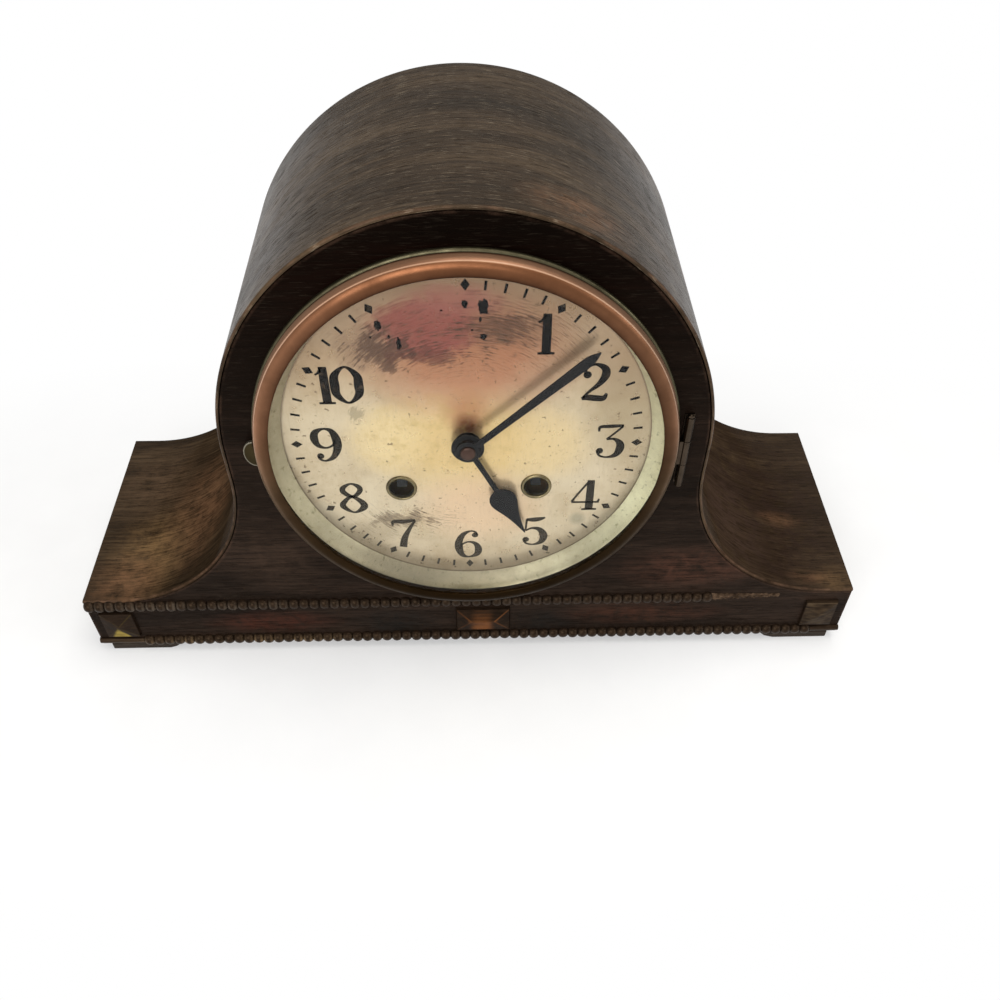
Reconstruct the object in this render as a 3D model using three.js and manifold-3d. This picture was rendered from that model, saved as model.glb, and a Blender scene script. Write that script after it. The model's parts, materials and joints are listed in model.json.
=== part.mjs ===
// Tambour mantel clock: a bent oak case, a glazed bezel on a hinge, a dial with two hands,
// and a striking movement with its pendulum, hammer and coil gong.
// Millimetres, +Z up. The dial faces -Y. Heights start at the table, depths at the case's front face.

import * as THREE from 'three';
import { ConvexGeometry } from 'three/addons/geometries/ConvexGeometry.js';
import { mergeVertices } from 'three/addons/utils/BufferGeometryUtils.js';
import Module from 'manifold-3d';

const wasm = await Module();
wasm.setup();

// Case
const DRUM_MARGIN = 14;
const COVE_RADIUS = 70;
const SHOULDER_FLAT = 12;
const SHOULDER_HEIGHT = 34;
const BEZEL_ABOVE_PLINTH = 2;
const CASE_DEPTH = 116;
const WRAP_THICKNESS = 5;
const LIP_THICKNESS = 1.2;
const FRONT_THICKNESS = 12;
const BACK_THICKNESS = 6;
const BASE_THICKNESS = 10;
const END_THICKNESS = 8;
const FOOT_HEIGHT = 4;
const FOOT_LENGTH = 34;
const FOOT_END_INSET = 4;
const FOOT_TAPER = 7;
const WOOD_GAP = 0.3;

// Mouldings on the plinth
const BEAD_PITCH = 4.7;
const BEAD_RADIUS = 2.9;
const BEAD_VALLEY_RADIUS = 1.6;
const BEAD_EDGE_DROP = 0.2;
const TOP_BEADS_MISSING = 66;
const TOP_SLIVER_LENGTH = 32;
const TOP_SLIVER_HEIGHT = 3.6;
const TOP_SLIVER_DEPTH = 1.1;
const BOTTOM_PLAIN_LENGTH = 21;
const END_BOSS_WIDTH = 15.5;
const END_BOSS_HEIGHT = 16.4;
const END_BOSS_INSET = 5;
const CENTRE_BOSS_WIDTH = 25.6;
const CENTRE_BOSS_HEIGHT = 14.8;
const CENTRE_BOSS_OFFSET = 5;
const BOSS_EDGE_DEPTH = 1.6;
const BOSS_PEAK_DEPTH = 3.4;

// Back door
const DOOR_HALF_WIDTH = 58;
const DOOR_SILL_HEIGHT = 44;
const DOOR_GAP = 0.6;
const DOOR_HINGE_LENGTH = 48;
const DOOR_HINGE_DROP = 32;
const DOOR_LEAF_WIDTH = 11;
const DOOR_LEAF_THICKNESS = 1;
const DOOR_BARREL_RADIUS = 1.9;
const DOOR_KNOB_RADIUS = 6;
const DOOR_KNOB_LENGTH = 9;
const DOOR_KNOB_INSET = 9;

// Dial
const DIAL_SETBACK = 4.4;
const DIAL_THICKNESS = 1;
const SIGHT_RADIUS = 72.5;
const REFLECTOR_WIDTH = 5.4;
const REFLECTOR_THICKNESS = 1.1;
const SLEEVE_WALL = 1;
const SLEEVE_LENGTH = 7;
const FLANGE_WIDTH = 2.8;
const FLANGE_MARGIN = 0.8;
const FLANGE_THICKNESS = 1.6;
const FERRULE_BORE_RADIUS = 5;
const FERRULE_WALL = 0.6;
const FERRULE_RIM = 0.8;
const FERRULE_PROUD = 0.9;
const FERRULE_TAIL = 0.6;
const DIAL_GAP = 0.3;

// Bezel and its hinge
const BEZEL_GAP = 0.3;
const BEZEL_WIDTH = 6.2;
const BEZEL_DEPTH = 5.7;
const BEZEL_WALL = 4;
const BEZEL_LIP = 1;
const GLASS_THICKNESS = 1.8;
const GLASS_RISE = 8.5;
const BEZEL_HINGE_LENGTH = 33;
const BEZEL_HINGE_STANDOFF = 3;
const BEZEL_BARREL_RADIUS = 1.6;
const BEZEL_BRACKET_WIDTH = 3.8;
const BEZEL_BRACKET_THICKNESS = 0.8;
const HINGE_PIN_RADIUS = 0.8;
const HINGE_CLEARANCE = 0.25;
const THUMB_TAB_REACH = 4.2;
const THUMB_TAB_HALF_HEIGHT = 5.8;
const THUMB_TAB_THICKNESS = 1.3;
const THUMB_TAB_RISE = 2;

// Hands, as they stand in the photograph
const MINUTE_ANGLE = THREE.MathUtils.degToRad(47.9);
const HOUR_ANGLE = THREE.MathUtils.degToRad(152.6);
const MINUTE_LENGTH = 65.4;
const MINUTE_ROOT_WIDTH = 2.4;
const MINUTE_BROAD_WIDTH = 4.2;
const MINUTE_BROAD_AT = 57;
const MINUTE_BOSS_RADIUS = 4.8;
const HOUR_LENGTH = 51.3;
const HOUR_SHAFT_WIDTH = 2.2;
const HOUR_SPADE_AT = 25.5;
const HOUR_SPADE_WIDTH = 11;
const HOUR_SPADE_BROAD_AT = 31.5;
const HOUR_BOSS_RADIUS = 6.5;
const HAND_THICKNESS = 0.6;
const HOUR_HAND_HEIGHT = 2.9;
const HAND_SPACING = 2.4;
const HAND_NUT_RADIUS = 3.1;
const HAND_NUT_LENGTH = 1.6;

// Movement frame
const WINDING_X = 27.8;
const WINDING_DROP = 22.6;
const PLATE_HALF_WIDTH = 56;
const PLATE_TOP = 54;
const PLATE_BOTTOM = 54;
const PLATE_THICKNESS = 2;
const PLATE_SPACING = 36;
const PLATE_CORNER = 6;
const EAR_WIDTH = 13;
const EAR_OVERLAP = 9;
const EAR_WALL = 1;
const PILLAR_RADIUS = 3.4;
const PILLAR_TENON_RADIUS = 2;
const PILLAR_INSET = 6.5;
const RUNNING_CLEARANCE = 0.12;
const END_SHAKE = 0.6;
const COLLAR = 1;

// Wheels
const ADDENDUM = 1;
const DEDENDUM = 1.25;
const LEAF_ADDENDUM = 0.9;
const LEAF_DEDENDUM = 1.3;
const MESH_EASE = 0.15;
const WHEEL_SPACING = 0.8;
const ESCAPE_SETBACK = 15;
const WARNING_SETBACK = 4;
const PIN_WHEEL_SETBACK = 6.4;
const WHEEL_THICKNESS = 1.4;
const PINION_EXTRA = 0.7;
const ARBOR_RADIUS = 0.75;
const RIM_WIDTH = 2.2;
const SPOKE_WIDTH = 1.7;
const SPOKES = 3;
const GREAT_TEETH = 42;
const GREAT_MODULE = 1.16;
const SECOND_TEETH = 36;
const SECOND_MODULE = 0.92;
const CENTRE_TEETH = 60;
const CENTRE_MODULE = 0.5;
const THIRD_TEETH = 60;
const THIRD_MODULE = 0.45;
const ESCAPE_TEETH = 52;
const ESCAPE_RADIUS = 11;
const ESCAPE_TOOTH_DEPTH = 1.7;
const PIN_TEETH = 36;
const PIN_MODULE = 0.72;
const WARNING_TEETH = 36;
const WARNING_MODULE = 0.6;
const PINION_LEAVES = 6;
const CANNON_TEETH = 10;
const MINUTE_WHEEL_TEETH = 30;
const MINUTE_PINION_TEETH = 8;
const HOUR_WHEEL_TEETH = 32;
const CANNON_MODULE = 0.62;
const CENTRE_ARBOR_RADIUS = 1.3;
const PIPE_WALL = 0.8;
const DIAL_CENTRE_CLEARANCE = 1.2;

// Barrels and winding
const BARREL_RADIUS = 22.4;
const BARREL_LENGTH = 24;
const BARREL_CAP_RADIUS = 17;
const BARREL_CAP_RISE = 0.8;
const WINDING_ARBOR_RADIUS = 2.8;
const WINDING_SQUARE = 4.2;
const WINDING_SQUARE_SETBACK = 2;
const RATCHET_TEETH = 16;
const RATCHET_RADIUS = 8.5;
const RATCHET_TOOTH_DEPTH = 1.3;
const RATCHET_THICKNESS = 1.6;
const CLICK_LENGTH = 10;
const CLICK_PIN_RADIUS = 1.3;
const CLICK_GAP = 0.4;
const CLICK_DEPTH = 2.2;
const CLICK_X = 4;

// Pallets and pendulum
const PALLET_DISTANCE = 15;
const PALLET_SPREAD = 9;
const PALLET_DROP = 6.6;
const CRUTCH_LENGTH = 36;
const CRUTCH_WIDTH = 2.4;
const CRUTCH_THICKNESS = 1.2;
const FORK_GAP = 0.4;
const FORK_PRONG = 1;
const COCK_SPAN = 24;
const COCK_HEIGHT = 8;
const COCK_STANDOFF = 4;
const COCK_THICKNESS = 2;
const SUSPENSION_STUD_RADIUS = 1.3;
const PENDULUM_FLOOR_ROOM = 13.2;
const PENDULUM_WIDTH = 2.4;
const PENDULUM_THICKNESS = 1.4;
const PENDULUM_EYE_WALL = 1.6;
const BOB_RADIUS = 16;
const BOB_THICKNESS = 9;
const RATING_NUT_RADIUS = 3.4;
const RATING_NUT_LENGTH = 4;

// Strike work and gong
const PIN_COUNT = 6;
const PIN_CIRCLE_RADIUS = 10.4;
const LIFTING_PIN_RADIUS = 0.7;
const LIFTING_PIN_LENGTH = 4.6;
const FLY_HALF_WIDTH = 7;
const FLY_HUB_RADIUS = 1.6;
const FLY_LENGTH = 7;
const FLY_THICKNESS = 0.8;
const HAMMER_X = -50;
const HAMMER_Z = -2;
const HAMMER_STALK_LENGTH = 40;
const HAMMER_STALK_SLOPE = THREE.MathUtils.degToRad(-31);
const HAMMER_STALK_RADIUS = 1.1;
const HAMMER_HEAD_RADIUS = 4.5;
const HAMMER_HEAD_LENGTH = 13;
const HAMMER_ARBOR_RADIUS = 1.3;
const HAMMER_HUB_RADIUS = 2.4;
const HAMMER_HUB_LENGTH = 6;
const HAMMER_TAIL_WIDTH = 2;
const HAMMER_TAIL_GAP = 1;
const HAMMER_REST_GAP = 1;
const GONG_BACK_ROOM = 25;
const GONG_WIRE_RADIUS = 1.6;
const GONG_TURNS = 2.75;
const GONG_ROUND_PART = 0.25;
const GONG_END_BEND = 0.45;
const GONG_OUTER_RADIUS = 33;
const GONG_TURN_PITCH = 7.4;
const GONG_BOSS_RADIUS = 5;
const GONG_POST_RADIUS = 4;
const GONG_POST_GAP = 2;
const GONG_FOOT_LENGTH = 34;
const GONG_FOOT_DEPTH = 26;
const GONG_FOOT_HEIGHT = 8;

// Facets
const DRUM_STEPS = 30;
const COVE_STEPS = 8;
const RING_SIDES = 36;
const KNOB_SIDES = 16;
const PIECE_SIDES = 10;
const ARBOR_SIDES = 6;
const BEAD_SIDES = 4;
const FERRULE_SIDES = 12;
const GONG_STEPS_PER_TURN = 12;
const GONG_GAP_SAMPLES = 240;
const GONG_WIRE_SIDES = 5;

// Places worked out from the sizes above
const REFLECTOR_RADIUS = SIGHT_RADIUS + REFLECTOR_WIDTH;
const SLEEVE_RADIUS = REFLECTOR_RADIUS + DIAL_GAP + SLEEVE_WALL;
const DIAL_HOLE_RADIUS = SLEEVE_RADIUS + DIAL_GAP;
const BEZEL_RADIUS = SLEEVE_RADIUS + FLANGE_WIDTH;
const DIAL_Z = SHOULDER_HEIGHT + BEZEL_ABOVE_PLINTH + BEZEL_RADIUS;
const DRUM_RADIUS = BEZEL_RADIUS + DRUM_MARGIN;
const COVE_X = DRUM_RADIUS + COVE_RADIUS;
const COVE_Z = SHOULDER_HEIGHT + COVE_RADIUS;
const HALF_WIDTH = COVE_X + SHOULDER_FLAT;
const BACK_FACE = CASE_DEPTH - BACK_THICKNESS;
const BEZEL_BACK = -FLANGE_THICKNESS - BEZEL_GAP;
const BEZEL_FRONT = BEZEL_BACK - BEZEL_DEPTH;
const BEZEL_LIP_RADIUS = BEZEL_RADIUS - BEZEL_WIDTH;
const GLASS_SEAT = BEZEL_FRONT + BEZEL_LIP + DIAL_GAP;
const GLASS_FRONT = GLASS_SEAT - GLASS_RISE;
const BEZEL_HINGE_X = BEZEL_RADIUS + BEZEL_HINGE_STANDOFF;
const BEZEL_HINGE_Y = -BEZEL_BRACKET_THICKNESS - HINGE_CLEARANCE - BEZEL_BARREL_RADIUS;
const DOOR_HINGE_X = -DOOR_HALF_WIDTH - DOOR_GAP / 2;
const DOOR_HINGE_Y = CASE_DEPTH + DOOR_BARREL_RADIUS;
const DOOR_HINGE_Z = DIAL_Z - DOOR_HINGE_DROP;
const KNOB_END = CASE_DEPTH + DOOR_KNOB_LENGTH;
const GONG_PLANE = BACK_FACE - GONG_BACK_ROOM;
const PLATE_FRONT = FRONT_THICKNESS;
const INSIDE_FRONT = PLATE_FRONT + PLATE_THICKNESS;
const INSIDE_BACK = INSIDE_FRONT + PLATE_SPACING;
const PLATE_BACK = INSIDE_BACK + PLATE_THICKNESS;
const CANNON_RADIUS = CENTRE_ARBOR_RADIUS + 2 * RUNNING_CLEARANCE + PIPE_WALL;
const HOUR_PIPE_RADIUS = CANNON_RADIUS + 2 * RUNNING_CLEARANCE + PIPE_WALL;
const DIAL_BACK = DIAL_SETBACK + DIAL_THICKNESS;
const HOUR_HAND_BACK = DIAL_SETBACK - HOUR_HAND_HEIGHT;
const MINUTE_HAND_BACK = HOUR_HAND_BACK - HAND_SPACING;
const HAND_NUT_FRONT = MINUTE_HAND_BACK - HAND_THICKNESS - HAND_NUT_LENGTH;

// Small geometry helpers
function polar(radius, angle) {
  return new THREE.Vector2(radius * Math.cos(angle), radius * Math.sin(angle));
}

function arcPoints(x, z, radius, from, to, steps) {
  const centre = new THREE.Vector2(x, z);
  const points = [];
  for (let step = 0; step <= steps; step += 1) {
    points.push(polar(radius, from + ((to - from) * step) / steps).add(centre));
  }
  return points;
}

function circlePoints(x, z, radius, sides) {
  return arcPoints(x, z, radius, 0, 2 * Math.PI, sides).slice(0, sides);
}

// A bore drawn as a polygon whose flats clear a shaft
function boreRadius(shaftRadius, clearance, sides) {
  return (shaftRadius + clearance) / Math.cos(Math.PI / sides);
}

// A flat piece parallel to the dial, with its outline in x and z
function slab(outline, front, back, holes = []) {
  const shape = new THREE.Shape(outline);
  shape.holes = holes.map((points) => new THREE.Path(points));
  const geometry = new THREE.ExtrudeGeometry(shape, { depth: back - front, bevelEnabled: false });
  geometry.rotateX(Math.PI / 2);
  geometry.translate(0, back, 0);
  return geometry;
}

// A round piece on the y axis, from pairs of radius and y
function turned(profile, sides) {
  const signedArea = profile.reduce((sum, [radius, y], index) => {
    const [nextRadius, nextY] = profile[(index + 1) % profile.length];
    return sum + radius * nextY - nextRadius * y;
  }, 0);
  const ordered = signedArea > 0 ? profile : [...profile].reverse();
  const points = ordered.map(([radius, y]) => new THREE.Vector2(radius, y));
  const touchesAxis = profile.some(([radius]) => radius === 0);
  if (!touchesAxis) {
    points.push(points[0].clone());
  }
  return new THREE.LatheGeometry(points, sides);
}

function cylinderY(radius, front, back, sides) {
  return turned([[0, front], [radius, front], [radius, back], [0, back]], sides);
}

function tubeY(innerRadius, outerRadius, front, back, sides) {
  return turned([
    [innerRadius, front], [outerRadius, front], [outerRadius, back], [innerRadius, back],
  ], sides);
}

function block(x, y, z) {
  const geometry = new THREE.BoxGeometry(x[1] - x[0], y[1] - y[0], z[1] - z[0]);
  geometry.translate((x[0] + x[1]) / 2, (y[0] + y[1]) / 2, (z[0] + z[1]) / 2);
  return geometry;
}

function moved(geometry, x, y, z) {
  return geometry.clone().translate(x, y, z);
}

// Joining and cutting of closed pieces
function solidOf(geometry) {
  const bare = geometry.clone();
  bare.deleteAttribute('normal');
  bare.deleteAttribute('uv');
  const merged = mergeVertices(bare, 1e-4);
  const corners = merged.getIndex().array;
  const triangles = [];
  for (let i = 0; i < corners.length; i += 3) {
    const [a, b, c] = [corners[i], corners[i + 1], corners[i + 2]];
    if (a !== b && b !== c && c !== a) {
      triangles.push(a, b, c);
    }
  }
  return new wasm.Manifold(new wasm.Mesh({
    numProp: 3,
    vertProperties: new Float32Array(merged.getAttribute('position').array),
    triVerts: new Uint32Array(triangles),
  }));
}

function geometryOf(solid) {
  const mesh = solid.getMesh();
  const geometry = new THREE.BufferGeometry();
  geometry.setAttribute('position', new THREE.BufferAttribute(new Float32Array(mesh.vertProperties), 3));
  geometry.setIndex(new THREE.BufferAttribute(new Uint32Array(mesh.triVerts), 1));
  return geometry;
}

function joined(...pieces) {
  return geometryOf(pieces.map(solidOf).reduce((whole, piece) => whole.add(piece)));
}

function cut(piece, ...tools) {
  return geometryOf(tools.map(solidOf).reduce((rest, tool) => rest.subtract(tool), solidOf(piece)));
}

function common(piece, other) {
  return geometryOf(solidOf(piece).intersect(solidOf(other)));
}

// Finishes
function finish(color, roughness, metalness) {
  return new THREE.MeshStandardMaterial({ color, roughness, metalness });
}

const OAK = finish(0x33211a, 0.5, 0);
const PLY = finish(0x5a4330, 0.7, 0);
const MOULDING = finish(0x3a251a, 0.55, 0);
const BRASS = finish(0xb08d4c, 0.35, 1);
const COPPER_BRASS = finish(0x7a4a2e, 0.35, 1);
const SILVERED = finish(0xcdbf9a, 0.4, 0.6);
const STEEL = finish(0x8a8c90, 0.35, 1);
const BLUED = finish(0x101014, 0.45, 0.4);
const IRON = finish(0x2a2a2c, 0.7, 0.6);
const GLASS = finish(0xe8f0f0, 0.05, 0);
GLASS.transparent = true;
GLASS.opacity = 0.25;

const clock = new THREE.Group();
const dialCentre = new THREE.Group();
dialCentre.position.z = DIAL_Z;
clock.add(dialCentre);

function place(parent, name, geometry, material, x = 0, z = 0, turn = 0) {
  const mesh = new THREE.Mesh(geometry, material);
  mesh.name = name;
  mesh.position.set(x, 0, z);
  mesh.rotation.y = turn;
  parent.add(mesh);
  return mesh;
}

// Case outline from the left end over the drum to the right end, drawn in by an inset
function caseTop(inset) {
  const top = SHOULDER_HEIGHT - inset;
  const quarter = Math.PI / 2;
  return [
    new THREE.Vector2(-HALF_WIDTH, top),
    ...arcPoints(-COVE_X, COVE_Z, COVE_RADIUS + inset, -quarter, 0, COVE_STEPS),
    ...arcPoints(0, DIAL_Z, DRUM_RADIUS - inset, Math.PI, 0, DRUM_STEPS),
    ...arcPoints(COVE_X, COVE_Z, COVE_RADIUS + inset, Math.PI, 3 * quarter, COVE_STEPS),
    new THREE.Vector2(HALF_WIDTH, top),
  ];
}

function caseBand(outerInset, innerInset, front, back) {
  return slab([...caseTop(outerInset), ...caseTop(innerInset).reverse()], front, back);
}

function panelOutline() {
  return [
    ...caseTop(LIP_THICKNESS + WOOD_GAP),
    new THREE.Vector2(HALF_WIDTH, FOOT_HEIGHT),
    new THREE.Vector2(-HALF_WIDTH, FOOT_HEIGHT),
  ];
}

// Bent shell, rebated at both ends so that only a thin lip shows round the front and back boards
function caseWrap() {
  const inside = WRAP_THICKNESS + 1;
  return cut(
    caseBand(0, WRAP_THICKNESS, 0, CASE_DEPTH),
    caseBand(LIP_THICKNESS, inside, -1, FRONT_THICKNESS),
    caseBand(LIP_THICKNESS, inside, BACK_FACE, CASE_DEPTH + 1),
  );
}

function doorOutline(grow) {
  const half = DOOR_HALF_WIDTH + grow;
  const sill = DOOR_SILL_HEIGHT - grow;
  return [
    new THREE.Vector2(-half, sill),
    new THREE.Vector2(half, sill),
    ...arcPoints(0, DIAL_Z, half, 0, Math.PI, DRUM_STEPS / 2),
  ];
}

// Tray of the plinth: a bottom board with an upstand at each end
function plinthBase() {
  const bottom = FOOT_HEIGHT;
  const floor = FOOT_HEIGHT + BASE_THICKNESS;
  const top = SHOULDER_HEIGHT - WRAP_THICKNESS;
  const inner = HALF_WIDTH - END_THICKNESS;
  const outline = [
    [-HALF_WIDTH, bottom], [HALF_WIDTH, bottom], [HALF_WIDTH, top], [inner, top],
    [inner, floor], [-inner, floor], [-inner, top], [-HALF_WIDTH, top],
  ].map(([x, z]) => new THREE.Vector2(x, z));
  return slab(outline, FRONT_THICKNESS, BACK_FACE);
}

function footRunner(side) {
  const outer = side * (HALF_WIDTH - FOOT_END_INSET);
  const inner = outer - side * FOOT_LENGTH;
  const outline = [
    [outer, 0], [inner + side * FOOT_TAPER, 0], [inner + side * FOOT_TAPER * 0.4, FOOT_HEIGHT * 0.35],
    [inner, FOOT_HEIGHT], [outer, FOOT_HEIGHT],
  ].map(([x, z]) => new THREE.Vector2(x, z));
  return slab(outline, 0, CASE_DEPTH);
}

place(clock, 'case_front', slab(panelOutline(), 0, FRONT_THICKNESS, [
  circlePoints(0, DIAL_Z, boreRadius(DIAL_HOLE_RADIUS, 0, RING_SIDES), RING_SIDES),
]), OAK);
place(clock, 'case_wrap', caseWrap(), OAK);
place(clock, 'case_back', slab(panelOutline(), BACK_FACE, CASE_DEPTH, [doorOutline(DOOR_GAP)]), PLY);
place(clock, 'plinth_base', plinthBase(), PLY);
place(clock, 'foot_left', footRunner(-1), OAK);
place(clock, 'foot_right', footRunner(1), OAK);

// A run of half-round beads along the plinth, flat against the front board
function beadRun(from, to) {
  const count = Math.round((to - from) / BEAD_PITCH);
  const pitch = (to - from) / count;
  const profile = [[0, from]];
  for (let bead = 0; bead < count; bead += 1) {
    const start = from + bead * pitch;
    profile.push([BEAD_VALLEY_RADIUS, start], [BEAD_RADIUS, start + pitch / 2]);
  }
  profile.push([BEAD_VALLEY_RADIUS, to], [0, to]);
  const beads = turned(profile, BEAD_SIDES);
  beads.rotateZ(-Math.PI / 2);
  const front = block([from, to], [-2 * BEAD_RADIUS, 0], [-2 * BEAD_RADIUS, 2 * BEAD_RADIUS]);
  return common(beads, front);
}

// Plain half-round, like the strip under the end bosses
function plainRun(from, to) {
  const run = cylinderY(BEAD_VALLEY_RADIUS, from, to, BEAD_SIDES);
  run.rotateZ(-Math.PI / 2);
  return common(run, block([from, to], [-2 * BEAD_RADIUS, 0], [-2 * BEAD_RADIUS, 2 * BEAD_RADIUS]));
}

const TOP_BEAD_Z = SHOULDER_HEIGHT - BEAD_EDGE_DROP - BEAD_RADIUS;
const BOTTOM_BEAD_Z = FOOT_HEIGHT + BEAD_EDGE_DROP + BEAD_RADIUS;
const PLAIN_END = HALF_WIDTH - BOTTOM_PLAIN_LENGTH;
const TOP_BEADS_END = HALF_WIDTH - TOP_BEADS_MISSING;
const RUN_OVERLAP = 0.5;

// The right end of the top run is broken away to a thin sliver, as on the old clock
function topBeadStrip() {
  const sliver = block(
    [TOP_BEADS_END - RUN_OVERLAP, TOP_BEADS_END + TOP_SLIVER_LENGTH],
    [-TOP_SLIVER_DEPTH, 0],
    [-TOP_SLIVER_HEIGHT / 2, TOP_SLIVER_HEIGHT / 2],
  );
  return joined(beadRun(-HALF_WIDTH, TOP_BEADS_END), sliver);
}

function bottomBeadStrip() {
  return joined(
    plainRun(-HALF_WIDTH, -PLAIN_END + RUN_OVERLAP),
    beadRun(-PLAIN_END, PLAIN_END),
    plainRun(PLAIN_END - RUN_OVERLAP, HALF_WIDTH),
  );
}

// Hipped boss: a low block with four equal slopes that meet in a ridge along its longer side
function boss(width, height) {
  const ridgeX = Math.max(width - height, 0) / 2;
  const ridgeZ = Math.max(height - width, 0) / 2;
  const points = [
    new THREE.Vector3(-ridgeX, -BOSS_PEAK_DEPTH, -ridgeZ),
    new THREE.Vector3(ridgeX, -BOSS_PEAK_DEPTH, ridgeZ),
  ];
  for (const depth of [-BOSS_EDGE_DEPTH, 0]) {
    for (const x of [-width / 2, width / 2]) {
      points.push(new THREE.Vector3(x, depth, -height / 2));
      points.push(new THREE.Vector3(x, depth, height / 2));
    }
  }
  return joined(new ConvexGeometry(points));
}

const BOSS_Z = (TOP_BEAD_Z + BOTTOM_BEAD_Z) / 2 - BEAD_EDGE_DROP;
const END_BOSS_X = HALF_WIDTH - END_BOSS_INSET - END_BOSS_WIDTH / 2;
place(clock, 'bead_strip_top', topBeadStrip(), MOULDING, 0, TOP_BEAD_Z);
place(clock, 'bead_strip_bottom', bottomBeadStrip(), MOULDING, 0, BOTTOM_BEAD_Z);
place(clock, 'boss_left', boss(END_BOSS_WIDTH, END_BOSS_HEIGHT), MOULDING, -END_BOSS_X, BOSS_Z);
const centreBoss = boss(CENTRE_BOSS_WIDTH, CENTRE_BOSS_HEIGHT);
place(clock, 'boss_centre', centreBoss, MOULDING, CENTRE_BOSS_OFFSET, BOSS_Z);
place(clock, 'boss_right', boss(END_BOSS_WIDTH, END_BOSS_HEIGHT), MOULDING, END_BOSS_X, BOSS_Z);

// Upright tube and rod on a hinge's own axis
function uprightTube(innerRadius, outerRadius, low, high) {
  const tube = tubeY(innerRadius, outerRadius, low, high, PIECE_SIDES);
  tube.rotateX(Math.PI / 2);
  return tube;
}

function hingePin(length) {
  const half = length / 2;
  const head = HINGE_PIN_RADIUS * 1.7;
  const pin = turned([
    [0, -half - head], [head, -half - head / 2], [head, -half - HINGE_CLEARANCE],
    [HINGE_PIN_RADIUS, -half - HINGE_CLEARANCE], [HINGE_PIN_RADIUS, half], [0, half],
  ], ARBOR_SIDES);
  pin.rotateX(-Math.PI / 2);
  return pin;
}

const PIN_BORE_RADIUS = boreRadius(HINGE_PIN_RADIUS, RUNNING_CLEARANCE, PIECE_SIDES);

// Back door, its butt hinge and its turned knob
function doorLeaf(side, knuckles) {
  const half = DOOR_HINGE_LENGTH / 2;
  const back = CASE_DEPTH - DOOR_HINGE_Y;
  const inner = side * DOOR_BARREL_RADIUS * 0.6;
  const outer = side * (DOOR_BARREL_RADIUS + DOOR_LEAF_WIDTH);
  const x = [Math.min(inner, outer), Math.max(inner, outer)];
  const sections = knuckles.map(([low, high]) => joined(
    uprightTube(PIN_BORE_RADIUS, DOOR_BARREL_RADIUS, low, high),
    block(side > 0 ? [inner, 2 * DOOR_BARREL_RADIUS] : [-2 * DOOR_BARREL_RADIUS, inner],
      [back, back + DOOR_LEAF_THICKNESS], [low, high]),
  ));
  const clear = side * (DOOR_BARREL_RADIUS + HINGE_CLEARANCE);
  const plateX = side > 0 ? [clear, x[1]] : [x[0], clear];
  const plate = block(plateX, [back, back + DOOR_LEAF_THICKNESS], [-half, half]);
  return joined(plate, ...sections);
}

function knuckleSpans(length) {
  const half = length / 2;
  const sixth = length / 6;
  return {
    fixed: [[-half, -sixth - HINGE_CLEARANCE], [sixth + HINGE_CLEARANCE, half]],
    moving: [[-sixth, sixth]],
  };
}

function doorKnob() {
  const profile = [[0, 0], [0.55, 0], [0.45, 0.3], [1, 0.6], [0.8, 0.9], [0, 1]].map(([across, along]) => [
    DOOR_KNOB_RADIUS * across,
    CASE_DEPTH + DOOR_KNOB_LENGTH * along,
  ]);
  return turned(profile, KNOB_SIDES);
}

const doorKnuckles = knuckleSpans(DOOR_HINGE_LENGTH);
const doorHinge = new THREE.Group();
doorHinge.position.set(DOOR_HINGE_X, DOOR_HINGE_Y, DOOR_HINGE_Z);
clock.add(doorHinge);
place(clock, 'back_door', slab(doorOutline(0), BACK_FACE, CASE_DEPTH), PLY);
place(clock, 'door_knob', doorKnob(), BRASS, DOOR_HALF_WIDTH - DOOR_KNOB_INSET, DIAL_Z - DOOR_HINGE_DROP);
place(doorHinge, 'door_hinge_fixed_leaf', doorLeaf(-1, doorKnuckles.fixed), BRASS);
place(doorHinge, 'door_hinge_moving_leaf', doorLeaf(1, doorKnuckles.moving), BRASS);
place(doorHinge, 'door_hinge_pin', hingePin(DOOR_HINGE_LENGTH), STEEL);

// Dial pan: flanged seat ring, sloping reflector, dial and the two winding-hole ferrules
const FERRULE_TUBE_RADIUS = FERRULE_BORE_RADIUS + FERRULE_WALL;
const FERRULE_RADIUS = FERRULE_TUBE_RADIUS + FERRULE_RIM;
const FERRULE_HOLE_RADIUS = boreRadius(FERRULE_TUBE_RADIUS, RUNNING_CLEARANCE, FERRULE_SIDES);

function dialPlate() {
  const centreHole = HOUR_PIPE_RADIUS + DIAL_CENTRE_CLEARANCE;
  return slab(circlePoints(0, 0, REFLECTOR_RADIUS, RING_SIDES), DIAL_SETBACK, DIAL_BACK, [
    circlePoints(0, 0, centreHole, PIECE_SIDES),
    circlePoints(-WINDING_X, -WINDING_DROP, FERRULE_HOLE_RADIUS, FERRULE_SIDES),
    circlePoints(WINDING_X, -WINDING_DROP, FERRULE_HOLE_RADIUS, FERRULE_SIDES),
  ]);
}

function dialFlange() {
  const inner = SLEEVE_RADIUS - SLEEVE_WALL;
  const outer = BEZEL_RADIUS + FLANGE_MARGIN;
  return turned([
    [inner, -FLANGE_THICKNESS], [outer, -FLANGE_THICKNESS], [outer, 0],
    [SLEEVE_RADIUS, 0], [SLEEVE_RADIUS, SLEEVE_LENGTH], [inner, SLEEVE_LENGTH],
  ], RING_SIDES);
}

function reflectorRing() {
  return turned([
    [SIGHT_RADIUS, DIAL_SETBACK],
    [REFLECTOR_RADIUS, -FLANGE_THICKNESS],
    [REFLECTOR_RADIUS, REFLECTOR_THICKNESS - FLANGE_THICKNESS],
    [SIGHT_RADIUS + REFLECTOR_THICKNESS, DIAL_SETBACK],
  ], RING_SIDES);
}

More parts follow.
